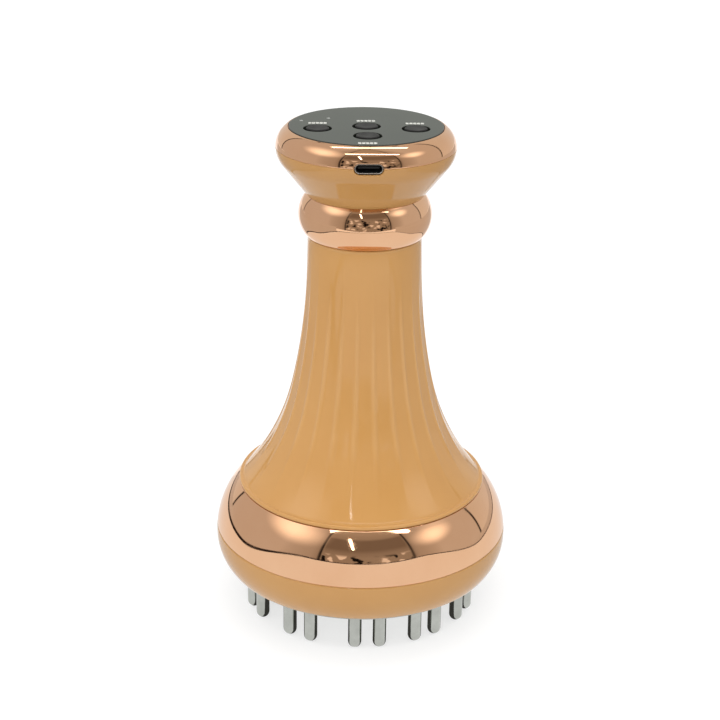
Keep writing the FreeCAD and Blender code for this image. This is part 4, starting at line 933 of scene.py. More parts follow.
@dataclass(frozen=True)
class Handle:
    """Fluted handle with a rounded rim on the band; sizes in millimetres."""

    ring_z: float = BAND_Z
    ring_r: float = BAND_R
    rim_t: float = 1.4
    rim_round: float = 0.4
    rim_over: float = 0.25
    top_z: float = NECK_LOW
    shadow_gap: float = 0.22            # open joint below the neck ring
    top_r: float = 18.8
    taper: float = 0.4
    neck_run: float = 14.0
    flare_angle: float = math.radians(42.0)
    wall: float = 2.2
    flutes: int = FLUTES
    flute_depth: float = 0.4
    ridge_share: float = 0.085          # half width of a ridge as a share of a flute
    crest_share: float = 0.75           # part of the depth that the ridge takes, the hollow takes the rest
    ridge_crowding: float = 1.8         # how closely the columns crowd towards a ridge
    fade_low_share: float = 0.24
    fade_high_share: float = 0.5
    edge_round: float = 0.5
    inner_round: float = 0.25
    rim_step: float = 0.05              # between the rim and the first fluted row
    top_lead: Place = (0.2, 2.0)        # out and down to the point that the upper edge is rounded from
    inner_drop: float = 1.0             # from the upper edge to the inner wall's first row
    rim_lead: Place = (1.0, 0.4)        # where the rim's level foot starts and ends: inside wall and bead
    rim_foot: Place = (0.3, 0.02)       # where the rim meets the flutes: share of its overhang, and rise
    flute_columns: int = 22
    rows: int = 120
    edge_steps: int = 5
    inner_rows: int = 24
    bead_rows: int = 9

    def arcs(self) -> tuple[np.ndarray, np.ndarray, np.ndarray]:
        """Works out the two arcs of the flare, which meet smoothly half way along equal arms.

        Returns:
            Start of the upper arc, the two arcs' meeting point, and the centre and radius of both.
        """
        lean = math.atan2(self.taper, self.neck_run)
        start = np.array([self.top_r + self.taper, self.top_z - self.neck_run])
        end = np.array([self.ring_r, self.ring_z])
        away = np.array([math.sin(lean), -math.cos(lean)])
        arrive = np.array([math.sin(self.flare_angle), -math.cos(self.flare_angle)])
        reach, turn = end - start, 2 * (1 - away @ arrive)
        along = reach @ (away + arrive)
        arm = (math.sqrt(along ** 2 + turn * (reach @ reach)) - along) / turn
        near, far = start + arm * away, end - arm * arrive
        joint, way = (near + far) / 2, (far - near) / np.linalg.norm(far - near)
        circles = []
        for first, heading, last in ((start, away, joint), (joint, way, end)):
            chord, side = last - first, np.array([-heading[1], heading[0]])
            bend_r = (chord @ chord) / (2 * (side @ chord))
            circles.append([*(first + bend_r * side), bend_r])
        return start, joint, np.array(circles)

    def radius(self, z: np.ndarray) -> np.ndarray:
        """Outline radius: a straight neck, then the upper and the lower arc.

        Args:
            z: Heights.

        Returns:
            Radius at each height.
        """
        start, joint, circles = self.arcs()
        neck = self.top_r + (self.top_z - z) / self.neck_run * self.taper
        upper, lower = [centre_r - np.sqrt(np.maximum(bend_r ** 2 - (z - centre_z) ** 2, 0))
                        for centre_r, centre_z, bend_r in circles]
        return np.where(z >= start[1], neck, np.where(z >= joint[1], upper, lower))

    def depth(self, z: np.ndarray) -> np.ndarray:
        """Flute depth, full along the flare and eased to nothing at both ends.

        Args:
            z: Heights.

        Returns:
            Depth at each height.
        """
        low_z = self.ring_z + self.rim_t
        rise = self.top_z - low_z
        low = eased((z - low_z) / (rise * self.fade_low_share))
        high = eased((self.top_z - z) / (rise * self.fade_high_share))
        return self.flute_depth * low * high

    def build(self) -> None:
        """Builds the shell: the outline's radius less the flute depth times a row of hollows round the axis.

        Across one flute the depth is one, less a narrow bell curve at the ridge, less a shallow
        parabola that hollows the space between two ridges.
        """
        steps = np.arange(self.flute_columns) / self.flute_columns - 0.5
        aside = np.sign(steps) * 0.5 * np.abs(2 * steps) ** self.ridge_crowding
        angles = FRONT + ((np.arange(self.flutes)[:, None] + 0.5 + aside).ravel()) * FULL_TURN / self.flutes
        ridge = np.exp(-0.5 * (aside / self.ridge_share) ** 2)
        hollow = (1 - 2 * np.abs(aside)) ** 2
        wave = np.tile(1 - self.crest_share * ridge - (1 - self.crest_share) * hollow, self.flutes)
        low_z, edge_z = self.ring_z + self.rim_t, self.top_z - self.shadow_gap
        z = np.linspace(low_z + self.rim_step, edge_z - self.edge_round, self.rows)
        fluted_r = self.radius(z) - self.depth(z) * wave[:, None]
        rim = self.rim_outline(float(self.radius(np.array([low_z]))[0]))
        out, down = self.top_lead
        top = rounded([(self.top_r + out, edge_z - down, 0.0), (self.top_r, edge_z, self.edge_round),
                       (self.top_r - self.wall, edge_z, self.inner_round)], self.edge_steps)[2:]
        inner_z = np.linspace(self.top_z - self.inner_drop, self.ring_z, self.inner_rows)
        grid = sections(angles, [rim.T, (fluted_r, z), top.T, (self.radius(inner_z) - self.wall, inner_z)])
        add_shell("handle", grid, FLUTED_ABS_PAINTED_LIGHT, "handle_shell")

    def rim_outline(self, flute_r: float) -> np.ndarray:
        """Rim from its inner edge, round the bead and in to the flutes, as an arc through three points.

        Args:
            flute_r: Radius of the fluted wall above the rim.

        Returns:
            Rows of radius and height.
        """
        first = np.array([self.ring_r - self.rim_round, self.ring_z])
        middle = np.array([self.ring_r, self.ring_z + self.rim_round])
        last = np.array([flute_r + self.rim_over, self.ring_z + self.rim_t])
        sides = np.array([middle - first, last - first])
        centre = first + np.linalg.solve(2 * sides, (sides ** 2).sum(axis=1))
        bend_r = np.linalg.norm(first - centre)
        angles = np.unwrap([np.arctan2(*(point - centre)[::-1]) for point in (first, middle, last)])
        turn = np.linspace(angles[0], angles[2], self.bead_rows)
        bead = centre + bend_r * np.column_stack((np.cos(turn), np.sin(turn)))
        inside, before = self.rim_lead
        inner = [(self.ring_r - self.wall - inside, self.ring_z),
                 (self.ring_r - self.rim_round - before, self.ring_z)]
        share, rise = self.rim_foot
        foot = [(flute_r + self.rim_over * share, self.ring_z + self.rim_t + rise)]
        return np.concatenate((inner, bead, foot))


@dataclass(frozen=True)
class NeckRing:
    """Plated bead between handle and head; sizes in millimetres."""

    low_z: float = NECK_LOW
    top_z: float = NECK_TOP
    end_r: float = 19.2
    widest_r: float = 21.9
    bore_r: float = 17.15
    low_round: float = 0.55
    low_run: float = 1.1                # height at which the arc takes over from the lower edge
    edge_round: float = 0.25
    edge_run: float = 0.7
    columns: int = 224
    rows: int = 56

    def build(self) -> None:
        """Builds the bead: an arc from edge to edge about its middle, and a straight bore."""
        arc = Swell(self.widest_r, (self.low_z + self.top_z) / 2, self.end_r, self.top_z)
        outline = rounded(
            [(self.bore_r, self.low_z, BROAD), (self.end_r, self.low_z, self.low_round)]
            + stretch_of(arc.outline(self.low_z + self.low_run, self.top_z - self.edge_run, self.rows))
            + [(self.end_r, self.top_z, self.edge_round), (self.bore_r, self.top_z, BROAD)])
        add_shell("neck_bead", turned(outline, self.columns), ROSE_GOLD, "neck_ring")


@dataclass(frozen=True)
class Port:
    """Opening and metal shell of the charging port; sizes in millimetres."""

    seam_z: float = SEAM_Z
    head_r: float = HEAD_R
    opening_w: float = 9.44
    opening_h: float = 3.66
    shell_w: float = 8.94
    shell_h: float = 3.16
    shell_wall: float = 0.3
    mouth_y: float = -28.25
    back_y: float = -20.9
    floor_y: float = -21.9
    lip: float = 0.1
    # Dark sleeve of painted shade inside the shell: where it starts, its thickness and its gap to the shell
    shade_sleeve_y: float = -27.95
    shade_sleeve_t: float = 0.12
    shade_sleeve_gap: float = 0.01
    end_columns: int = 12
    flat_columns: int = 16
    crowding: float = 0.9               # how closely the other sections crowd towards the opening
    section_columns: int = 72

    @property
    def bend_r(self) -> float:
        """Radius of the half circles at the opening's ends."""
        return self.opening_h / 2

    @property
    def half_flat(self) -> float:
        """Half the opening's width between those half circles."""
        return (self.opening_w - self.opening_h) / 2

    def columns(self, count: int) -> np.ndarray:
        """Angles of the head's sections, close together where the opening's ends turn.

        The opening's sections follow the half circles at its ends; outside it the spacing grows.

        Args:
            count: Sections outside the opening.

        Returns:
            Angles round the axis, rising.
        """
        end = self.half_flat + self.bend_r * np.sin(np.linspace(0, np.pi / 2, self.end_columns))
        flat = np.linspace(-self.half_flat, self.half_flat, self.flat_columns)[1:-1]
        inside = np.arcsin(np.concatenate((-end[::-1], flat, end)) / self.head_r)
        edge = inside[-1]
        ease = np.linspace(0, 1, count + 2)[1:-1]
        ease = ease + self.crowding * np.sin(FULL_TURN * (ease + 0.5)) / FULL_TURN
        outside = edge + (FULL_TURN - 2 * edge) * ease
        return FRONT + np.concatenate((inside, outside))

    def half_height(self, angles: np.ndarray) -> np.ndarray:
        """Half the opening's height at angles: flat, then half circles at both ends, and nothing beyond.

        Args:
            angles: Angles round the axis.

        Returns:
            Half height at each angle.
        """
        turn = angles - FRONT
        across = np.where(np.cos(turn) > 0, np.abs(self.head_r * np.sin(turn)), self.head_r)
        beyond = np.clip(across - self.half_flat, 0, self.bend_r)
        return np.sqrt(self.bend_r ** 2 - beyond ** 2)

    def build(self) -> None:
        """Builds the metal shell, and inside it a dark sleeve of painted shade that darkens the mouth."""
        wall, mouth, lip = self.shell_wall, self.mouth_y, self.mouth_y + self.lip
        edge = np.array([0, 0, 0, 1 / 3, 2 / 3, 1, 1, 1]) * wall
        depth = np.array([self.back_y, self.back_y, lip, mouth, mouth, lip, self.floor_y, self.floor_y])
        self.add_cup("port_shell", edge, depth, PORT_STEEL, ["usb_shell"])
        # A dark sleeve inside the shell paints the shade in the mouth
        outside, inside = wall + self.shade_sleeve_gap, wall + self.shade_sleeve_gap + self.shade_sleeve_t
        back, floor = self.floor_y - self.shade_sleeve_gap, self.floor_y - self.shade_sleeve_t
        inset = np.array([outside, outside, outside, inside, inside, inside])
        depth = np.array([back, back, self.shade_sleeve_y, self.shade_sleeve_y, floor, floor])
        self.add_cup("port_shade_sleeve", inset, depth, BLACK_PLASTIC, [])

    def add_cup(self, name: str, inset: np.ndarray, depth: np.ndarray, finish: Finish,
                nodes: Sequence[str]) -> None:
        """Adds a cup: a rounded bar's section carried from its back to its mouth and into its floor.

        The section is two half circles joined by straights, drawn in by the inset at each step; the
        first and last steps shrink to a point.

        Args:
            name: Name of the piece.
            inset: How far each step lies inside the shell's outline.
            depth: Place of each step from front to back.
            finish: Finish that it gets.
            nodes: Solids that it stands in for.
        """
        turn = np.linspace(0, FULL_TURN, self.section_columns, endpoint=False)[:, None]
        half = (self.shell_w - self.shell_h) / 2
        scale = np.ones(len(depth))
        scale[[0, -1]] = 0
        bend = self.shell_h / 2 - inset
        x = scale * (bend * np.cos(turn) + half * np.sign(np.cos(turn)))
        z = self.seam_z + scale * bend * np.sin(turn)
        skin = Skin()
        skin.add_grid(np.stack((x, np.tile(depth, (len(turn), 1)), z), axis=-1), along=False)
        mesh = skin.mesh(name)
        mesh.set_sharp_from_angle(angle=SHARP)
        add_piece(name, mesh, finish, nodes)


@dataclass(frozen=True)
class Head:
    """Cone, plated bezel, panel, buttons and print; sizes in millimetres."""

    port: Port = Port()
    low_z: float = NECK_TOP
    low_r: float = 19.3
    head_r: float = HEAD_R
    seam_z: float = SEAM_Z
    bend_r: float = 8.85
    lip_r: float = 26.75
    spigot_r: float = 15.2
    floor_t: float = 2.2
    edge_round: float = 0.22
    edge_bevel: float = 0.2
    cone_hinge: float = 160.2           # height above which the rows give way to the port's opening
    cone_step: float = 0.2
    cone_rows: tuple[int, int] = (40, 18)
    cone_leads: Place = (0.3, 0.25)     # from the lower edge to the first row, and to the point before it
    inner_drop: float = 4.5             # from the seam down to where the inner wall starts
    inner_in: float = 0.8
    bead_rows: int = 6
    bezel: Swell = Swell(HEAD_R, SEAM_Z, 25.3, 169.4)
    bezel_hinge: float = 165.6          # height below which the rows give way to the port's opening
    bezel_top: float = 169.2
    bezel_rows: tuple[int, int] = (22, 34)
    bezel_back: float = 0.3
    seat_r: float = 25.15
    seat_lead: float = 0.12
    seat_lean: float = 0.08
    seat_rounds: Place = (0.06, 0.05)
    bezel_in_r: float = 26.9
    ledge_r: float = 23.05
    ledge_z: float = 166.1
    panel_r: float = 25.0
    panel_z: float = 167.6
    panel_top: float = 169.6
    panel_round: float = 0.3
    print_t: float = 0.02
    button_r: float = 3.7
    button_gap: float = 0.9
    hole_round: float = 0.2
    button_top: float = 169.85
    button_dish: float = 0.12
    shoulder_w: float = 0.5
    shoulder_t: float = 0.4
    button_flange_r: float = 5.1
    button_flange_z: float = 166.5
    button_flange_t: float = 1.0
    stem_r: float = 2.0
    stem_z: float = 165.62
    side_lead: float = 0.5              # above the flange, where the cap's side starts
    cap_columns: int = 72
    dish_rows: int = 10
    shoulder_rows: int = 9
    lens_r: float = 0.65
    lens_collar_r: float = 0.95
    bar_w: float = 1.08
    bar_h: float = 2.0
    bar_pitch: float = 1.22
    bar_count: int = 5
    bar_power: float = 0.4              # of the bar's rounded outline, square at nought
    bar_columns: int = 24
    marks: tuple[Place, ...] = ((-15.7, 2.6), (15.7, 2.6), (0.0, 5.7), (-0.3, -22.4))
    columns: int = 230

    def build(self) -> None:
        """Builds and dresses the pieces of the head."""
        self.add_cone()
        self.add_bezel()
        self.add_panel()
        for body in BUTTONS:
            self.add_button(body)
        self.add_print()
        self.port.build()

    def cone_radius(self, z: np.ndarray) -> np.ndarray:
        """Outline of the cone: a straight flank that meets an arc which ends upright at the seam.

        Args:
            z: Heights.

        Returns:
            Radius at each height.
        """
        across, rise = self.head_r - self.bend_r - self.low_r, self.seam_z - self.low_z
        angle = math.atan2(across, rise) + math.asin(self.bend_r / math.hypot(across, rise))
        turn_z = self.seam_z - self.bend_r * math.sin(angle)
        flank = self.low_r + (z - self.low_z) * math.tan(angle)
        arc = self.head_r - self.bend_r + np.sqrt(np.maximum(self.bend_r ** 2 - (z - self.seam_z) ** 2, 0))
        return np.where(z < turn_z, flank, arc)

    def add_cone(self) -> None:
        """Cone: rows up the outline, squeezed under the port's opening, then an edge and a wall inside."""
        angles, soft, hinge = self.port.columns(self.columns), self.edge_round, self.cone_hinge
        first, before = self.cone_leads
        top = (self.seam_z - self.port.half_height(angles))[:, None]
        flank_rows, upper_rows = self.cone_rows
        rows = np.concatenate((np.linspace(self.low_z + first, hinge, flank_rows),
                               np.linspace(hinge + self.cone_step, self.seam_z - soft, upper_rows)))
        squeeze = (top - soft - hinge) / (self.seam_z - soft - hinge)
        tall = np.where(rows > hinge, hinge + (rows - hinge) * squeeze, rows)
        wide = self.cone_radius(tall)
        bead = np.linspace(0, np.pi / 2, self.bead_rows)
        floor_z, bevel = self.low_z + self.floor_t, self.edge_bevel
        inner = rounded([(self.lip_r, self.seam_z - self.inner_drop, 0.0),
                         (self.low_r - self.inner_in, floor_z, BROAD), (self.spigot_r, floor_z, SOFT),
                         (self.spigot_r, self.low_z, SOFT), (self.low_r, self.low_z, SOFT),
                         (self.low_r + bevel, self.low_z + before, 0.0)], HIDDEN_STEPS)
        grid = sections(angles, [
            (wide, tall), (wide[:, -1:] - soft + soft * np.cos(bead), top - soft + soft * np.sin(bead)),
            ([self.lip_r + bevel], top), ([self.lip_r], top - bevel), inner.T])
        add_shell("head_cone", grid, BEIGE_ABS_SHADED, "head_shell")

    def add_bezel(self) -> None:
        """Bezel: rows up its arc, squeezed above the port's opening, a thin edge, a seat and a ledge."""
        angles, soft, hinge = self.port.columns(self.columns), self.edge_round, self.bezel_hinge
        low = (self.seam_z + self.port.half_height(angles))[:, None]
        lower_rows, upper_rows = self.bezel_rows
        rows = np.concatenate((np.linspace(self.seam_z + soft, hinge, lower_rows),
                               np.linspace(hinge, self.bezel_top, upper_rows)[1:]))
        squeeze = (hinge - low - soft) / (hinge - self.seam_z - soft)
        tall = np.where(rows < hinge, hinge - (hinge - rows) * squeeze, rows)
        wide = self.bezel.radius(tall)
        bead = np.linspace(-np.pi / 2, 0, self.bead_rows)
        end_r, end_z, lead = self.bezel.end_r, self.bezel.end_z, self.seat_lead
        upper_round, lower_round = self.seat_rounds
        seat = rounded([(end_r + lead, end_z - lead, 0.0), (self.seat_r + self.seat_lean, end_z, upper_round),
                        (self.seat_r, self.panel_z, lower_round), (self.ledge_r, self.panel_z, SOFT),
                        (self.ledge_r, self.ledge_z, SOFT), (self.bezel_in_r, self.ledge_z, 0.0)],
                       HIDDEN_STEPS)
        grid = sections(angles, [
            (wide[:, :1] - soft + soft * np.cos(bead), low + soft + soft * np.sin(bead)), (wide, tall),
            seat.T, ([self.bezel_in_r], low + self.edge_bevel), ([self.bezel_in_r + self.bezel_back], low)])
        add_shell("bezel", grid, ROSE_GOLD, "head_bezel")

    @staticmethod
    def button_place(body: Body) -> Place:
        """Place of a button cap, read from the middle of its solid."""
        low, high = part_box(body.value)
        return (low.x + high.x) / 2 / MM, (low.y + high.y) / 2 / MM

    def lens_places(self) -> list[Place]:
        """Places of the two light guides, read from the corners of their joint box.

        Returns:
            Both places.
        """
        low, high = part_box("indicator_lenses")
        collar = self.lens_collar_r
        return [(low.x / MM + collar, low.y / MM + collar), (high.x / MM - collar, high.y / MM - collar)]

    def add_panel(self) -> None:
        """Panel: a disc with a softened upper edge and rounded rims at the button and lens holes."""
        top, soft = self.panel_top - self.print_t, self.panel_round
        turn = np.linspace(0, np.pi / 2, self.bead_rows)
        bend = np.column_stack((np.cos(turn), np.sin(turn)))
        outer = np.array([self.panel_r, top]) - soft + soft * bend
        edge = np.concatenate(([(self.panel_r, self.panel_z)], outer))
        hole_r, rim = self.button_r + self.button_gap, self.hole_round
        wall = np.array([hole_r + rim, top - rim]) + rim * bend * np.array([-1, 1])
        wall = np.concatenate(([(hole_r, self.panel_z)], wall))
        holes = [Hole(self.button_place(body), wall) for body in BUTTONS]
        lens_wall = np.array([(self.lens_r, self.panel_z), (self.lens_r, top)])
        holes += [Hole(place, lens_wall) for place in self.lens_places()]
        mesh = PiercedDisc(edge, holes, hole_columns=self.cap_columns).mesh("panel")
        add_piece("panel", mesh, SMOKED_ACRYLIC, ["control_panel"])

    def add_button(self, body: Body) -> None:
        """Button: a cap with a shallow dish, a rounded shoulder, a flange under the panel and a stem.

        The dish is a parabola across the face, the shoulder a quarter of an ellipse.

        Args:
            body: Body of the button.
        """
        flange_low, flange_top = self.button_flange_z, self.button_flange_z + self.button_flange_t
        face_r = self.button_r - self.shoulder_w
        across = np.linspace(0, 1, self.dish_rows)
        dish = np.column_stack((across * face_r, self.button_top - self.button_dish * (1 - across ** 2)))
        turn = np.linspace(0, np.pi / 2, self.shoulder_rows)[1:]
        shoulder = np.column_stack((face_r + self.shoulder_w * np.sin(turn),
                                    self.button_top - self.shoulder_t * (1 - np.cos(turn))))
        side = rounded([(self.button_r, flange_top + self.side_lead, 0.0), (self.button_r, flange_top, CRISP),
                        (self.button_flange_r, flange_top, CRISP), (self.button_flange_r, flange_low, CRISP),
                        (self.stem_r, flange_low, CRISP), (self.stem_r, self.stem_z, CRISP),
                        (0.0, self.stem_z, 0.0)])
        outline = np.concatenate((dish, shoulder, side))
        grid = turned(outline, self.cap_columns, self.button_place(body))
        add_shell("cap_" + body.name.lower(), grid, BUTTON_ABS, body.value, body)

    def add_print(self) -> None:
        """Printed marks: beside each button a row of small bars with rounded corners.

        A bar's outline is half its size times a power of the cosine and of the sine, with their signs.
        """
        low, top = self.panel_top - self.print_t, self.panel_top
        turn = np.linspace(0, FULL_TURN, self.bar_columns, endpoint=False)[:, None]
        x, y = [size / 2 * np.sign(wave) * np.abs(wave) ** self.bar_power
                for size, wave in ((self.bar_w, np.cos(turn)), (self.bar_h, np.sin(turn)))]
        scale = np.array([0, 1, 1, 0])
        grid = np.stack((x * scale, y * scale, np.tile([low, low, top, top], (len(turn), 1))), axis=-1)
        steps = (np.arange(self.bar_count) - (self.bar_count - 1) / 2) * self.bar_pitch
        skin = Skin()
        skin.add_copies(grid, np.array([(x + step, y) for x, y in self.marks for step in steps]))
        add_piece("panel_print", skin.mesh("panel_print"), PRINT_INK, [])


@dataclass(frozen=True)
class Inside:
    """Solids that stay as they are, each with the finish of its material slot."""

    finishes: dict[str, Finish] = field(default_factory=lambda: {
        "beige_abs": BEIGE_ABS_SHADED, "rose_gold_plate": ROSE_GOLD, "panel_acrylic": SMOKED_ACRYLIC,
        "button_abs": BUTTON_ABS, "pale_abs": PALE_ABS, "pin_steel": PIN_STEEL, "port_steel": PORT_STEEL,
        "black_plastic": BLACK_PLASTIC, "clear_acrylic": CLEAR_ACRYLIC, "lamp_resin": LAMP_RESIN,
        "circuit_board": CIRCUIT_BOARD, "ferrite": FERRITE, "cell_wrap": CELL_WRAP,
        "nickel_strip": NICKEL_STRIP, "foam": FOAM, "frame_plastic": FRAME_ABS, "motor_steel": MOTOR_STEEL,
        "brass": BRASS, "screw_steel": SCREW_STEEL, "lead_pvc": LEAD_PVC})

    def dress(self) -> None:
        """Gives every solid the finish that its slot names."""
        for name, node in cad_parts.items():
            for slot in node.material_slots:
                key = slot.material.name.split(".")[0]
                slot.material = self.finishes[key].material()
                LOG.info("%s: %s", name, key)


# Studio


@dataclass(frozen=True)
class Lamp:
    """Rectangular studio light.

    Attributes:
        name: What the light is.
        place: Its middle in metres.
        aim: Point that it faces.
        size: Width and height in metres.
        radiance: Brightness of its face.
        mirrored: Whether glossy surfaces show it.
    """

    name: str
    place: Corner
    aim: Corner
    size: Place
    radiance: float
    mirrored: bool = True

    def build(self) -> None:
        """Adds the light; its power is radiance times area times pi."""
        data = bpy.data.lights.new(self.name, "AREA")
        data.shape = "RECTANGLE"
        data.size, data.size_y = self.size
        data.energy = self.radiance * self.size[0] * self.size[1] * math.pi
        lamp = add_object(self.name, data)
        lamp.location = self.place
        lamp.rotation_euler = (Vector(self.aim) - Vector(self.place)).to_track_quat("-Z", "Y").to_euler()
        lamp.visible_camera = False
        lamp.visible_glossy = self.mirrored


@dataclass(frozen=True)
class Studio:
    """Floor, surroundings, lights and camera; sizes in metres."""

    floor_x: Place = (-1.6, 1.6)
    floor_y: Place = (-0.56, 2.4)
    aim: Corner = (0.0, 0.0, 0.0883)
    distance: float = 0.570
    azimuth: float = math.radians(-1.9)
    pitch: float = math.radians(22.09)
    roll: float = math.radians(0.816)
    offset: float = 0.00098             # how far the axis lies right of the picture's middle, metres
    lens: float = 84.09                 # millimetres on a sensor 36 mm wide
    sensor: float = 36.0
    clip: Place = (0.01, 50.0)
    card_r: float = 0.2
    card_h: Place = (0.022, 0.084)
    card_turn: Corner = (38.0, 95.0, 150.0)             # degrees from the front: full, lowest, end
    # Height of the dark strip of painted shade along the card's top
    card_top_shade: Place = (0.003, 0.009)                   # at the right and at the left
    card_columns: int = 151
    # Dark disc of painted shade under the base: its radius, height and steps round
    under_shade_r: float = 0.04
    under_shade_z: float = 0.0002
    under_shade_columns: int = 65
    bench_r: float = 1.6
    bench_turn: float = 48.0
    front_reach: Place = (-3, 3)                        # of x over -y, across the front
    least_ahead: float = 0.05
    walls: Stops = (                                    # tones across the front, with two dark posts
        (-2.4, "#CFCBC8"), (-0.9, "#B4AEA8"), (-0.74, "#A39C95"), (-0.72, "#2E2A27"), (-0.68, "#2E2A27"),
        (-0.66, "#A29B92"), (0.86, "#A29B92"), (0.88, "#2E2A27"), (0.93, "#2E2A27"), (0.95, "#A39C95"),
        (1.1, "#B4AEA8"), (2.4, "#D2CFCC"))
    window: Stops = ((-0.66, "#000000"), (-0.64, "#FFFFFF"), (0.84, "#FFFFFF"), (0.86, "#000000"))
    pane: Stops = (                                     # tones up the opening between the posts
        (-0.2, "#A29B92"), (0.34, "#9E978E"), (0.50, "#958D84"), (0.58, "#7E746A"), (0.74, "#7E746A"),
        (0.77, "#A0988E"), (0.88, "#B2AAA0"))
    shelf: Stops = ((-0.26, "#000000"), (-0.20, "#FFFFFF"), (0.42, "#FFFFFF"), (0.47, "#000000"))
    things: Stops = (                                   # tones of what stands on the shelf, by the noise
        (0.37, "#120E0B"), (0.40, "#2A231E"), (0.43, "#9E978E"), (0.58, "#9E978E"), (0.61, "#F4F0EC"))
    things_scale: float = 5.5
    rear: Stops = ((-0.1, "#DFDDD9"), (0.0, "#E2E0DC"), (0.5, "#DCDBD7"), (0.95, "#E0DEDA"))
    corner: Stops = ((0.50, "#FFFFFF"), (0.51, "#3A332E"), (0.53, "#3A332E"), (0.54, "#FFFFFF"))
    corner_lean: float = 0.226                          # part of x that is added to y
    corner_at: Place = (0.52, 0.54)                     # where the front half gives way to the back
    back_shade: tuple[Corner, Corner] = ((0.03, 0.97, 0.245), (0.34, 0.6, 0.2))     # that the panel shows
    shade_tone: str = "#C6C9C2"
    glow_tone: str = "#FFFAF4"
    glow_core: float = 0.1                              # part of its reach in which a patch is full
    glows: tuple[tuple[Corner, Corner], ...] = (        # direction and reach of the lit patches on the walls
        ((-0.700, -0.230, 0.676), (0.6, 0.55, 0.30)),
        ((0.760, -0.290, 0.574), (0.6, 0.34, 0.21)),
    )
    lamps: tuple[Lamp, ...] = (
        Lamp("ceiling_tube", (-0.45, -2.6, 2.4), (-0.45, -2.5, 0.1), (0.1, 1.3), 9.0),
        Lamp("cross_strip", (0.3, -1.24, 2.4), (0.3, -1.0, 0.1), (2.6, 0.2), 5.0),
        Lamp("rear_strip", (0.15, 0.28, 2.4), (0.15, 0.2, 0.1), (2.2, 0.2), 5.0),
        Lamp("soft_fill", (0.0, -0.2, 2.2), (0.0, -0.1, 0.0), (2.4, 2.4), 1.2, mirrored=False),
        Lamp("front_fill", (-0.3, -1.5, 0.95), (0.0, 0.0, 0.08), (1.4, 0.9), 3.0, mirrored=False),
        Lamp("rear_fill", (0.0, 1.6, 0.95), (0.0, 0.0, 0.08), (1.6, 0.9), 1.4, mirrored=False),
    )

    def build(self) -> None:
        """Sets up the studio."""
        self.add_floor()
        self.add_card()
        self.add_surroundings()
        for lamp in self.lamps:
            lamp.build()
        self.add_camera()
        bpy.context.scene.view_settings.view_transform = "Standard"

    def add_floor(self) -> None:
        """Adds the pale floor, a flat sheet level with the pin tips."""
        (west, east), (south, north) = self.floor_x, self.floor_y
        grid = np.array([[(west, south, 0), (east, south, 0)], [(west, north, 0), (east, north, 0)]])
        self.add_sheet("floor", grid, OPAL_TABLE, seen=True)

    def add_card(self) -> None:
        """Adds a low white card curved round the front, the bench at both sides, and two dark sheets of
        painted shade.

        The card is an upright band on a circle; its height eases from the front's to the sides', and
        its foot runs in over the table to a dark disc under the base, painted shade that stands for the
        shadow there, which the pins mirror. A dark strip along the card's top is painted shade of its edge.
        They show only in glossy surfaces.
        """
        full, lowest, end = np.radians(self.card_turn)
        turn = np.linspace(-end, end, self.card_columns)
        low, high = self.card_h
        height = (low + (high - low) * eased((lowest - np.abs(turn)) / (lowest - full)))[:, None]
        near, far = np.full_like(height, self.card_r), np.full_like(height, self.bench_r)
        inner, table = np.full_like(height, self.under_shade_r), np.full_like(height, self.under_shade_z)
        edge_thin, edge_thick = self.card_top_shade
        edge = edge_thin + (edge_thick - edge_thin) * (np.sin(np.minimum(turn, 0)) ** 2)[:, None]
        foot, seam = np.zeros_like(height), height - edge
        aside = np.abs(turn) > math.radians(self.bench_turn)
        left, right = aside & (turn < 0), aside & (turn > 0)
        level = np.full_like(height, low)
        for name, radii, heights, part, finish in (
                ("card", (near, near), (foot, seam), slice(None), CARD),
                ("card_foot", (inner, near), (table, table), slice(None), CARD),
                ("card_top_shade", (near, near), (seam, height), slice(None), CARD_TOP_SHADE),
                ("bench_left", (near, far), (level, level), left, BENCH),
                ("bench_right", (near, far), (level, level), right, BENCH)):
            grid = swept(FRONT + turn[part], np.hstack(radii)[part], np.hstack(heights)[part])
            self.add_sheet(name, grid, finish)
        # The dark disc of painted shade under the base, which the pins mirror
        round_turn = np.linspace(0, FULL_TURN, self.under_shade_columns)
        spokes = np.tile([0.0, self.under_shade_r], (len(round_turn), 1))
        self.add_sheet("mat", swept(round_turn, spokes, np.full_like(spokes, self.under_shade_z)), UNDER_BASE_SHADE)

    @staticmethod
    def add_sheet(name: str, grid: np.ndarray, finish: Finish, seen: bool = False) -> None:
        """Adds a sheet of the studio.

        Args:
            name: Name of the sheet.
            grid: Points in metres, two in each row.
            finish: Its finish.
            seen: Whether it is there for more than glossy surfaces.
        """
        first = np.arange(len(grid) - 1) * 2
        mesh = bpy.data.meshes.new(name)
        mesh.from_pydata(grid.reshape(-1, 3).tolist(), [],
                         np.column_stack((first, first + 1, first + 3, first + 2)).tolist())
        mesh.materials.append(finish.material())
        sheet = add_object(name, mesh)
        sheet.visible_camera = sheet.visible_diffuse = sheet.visible_shadow = seen

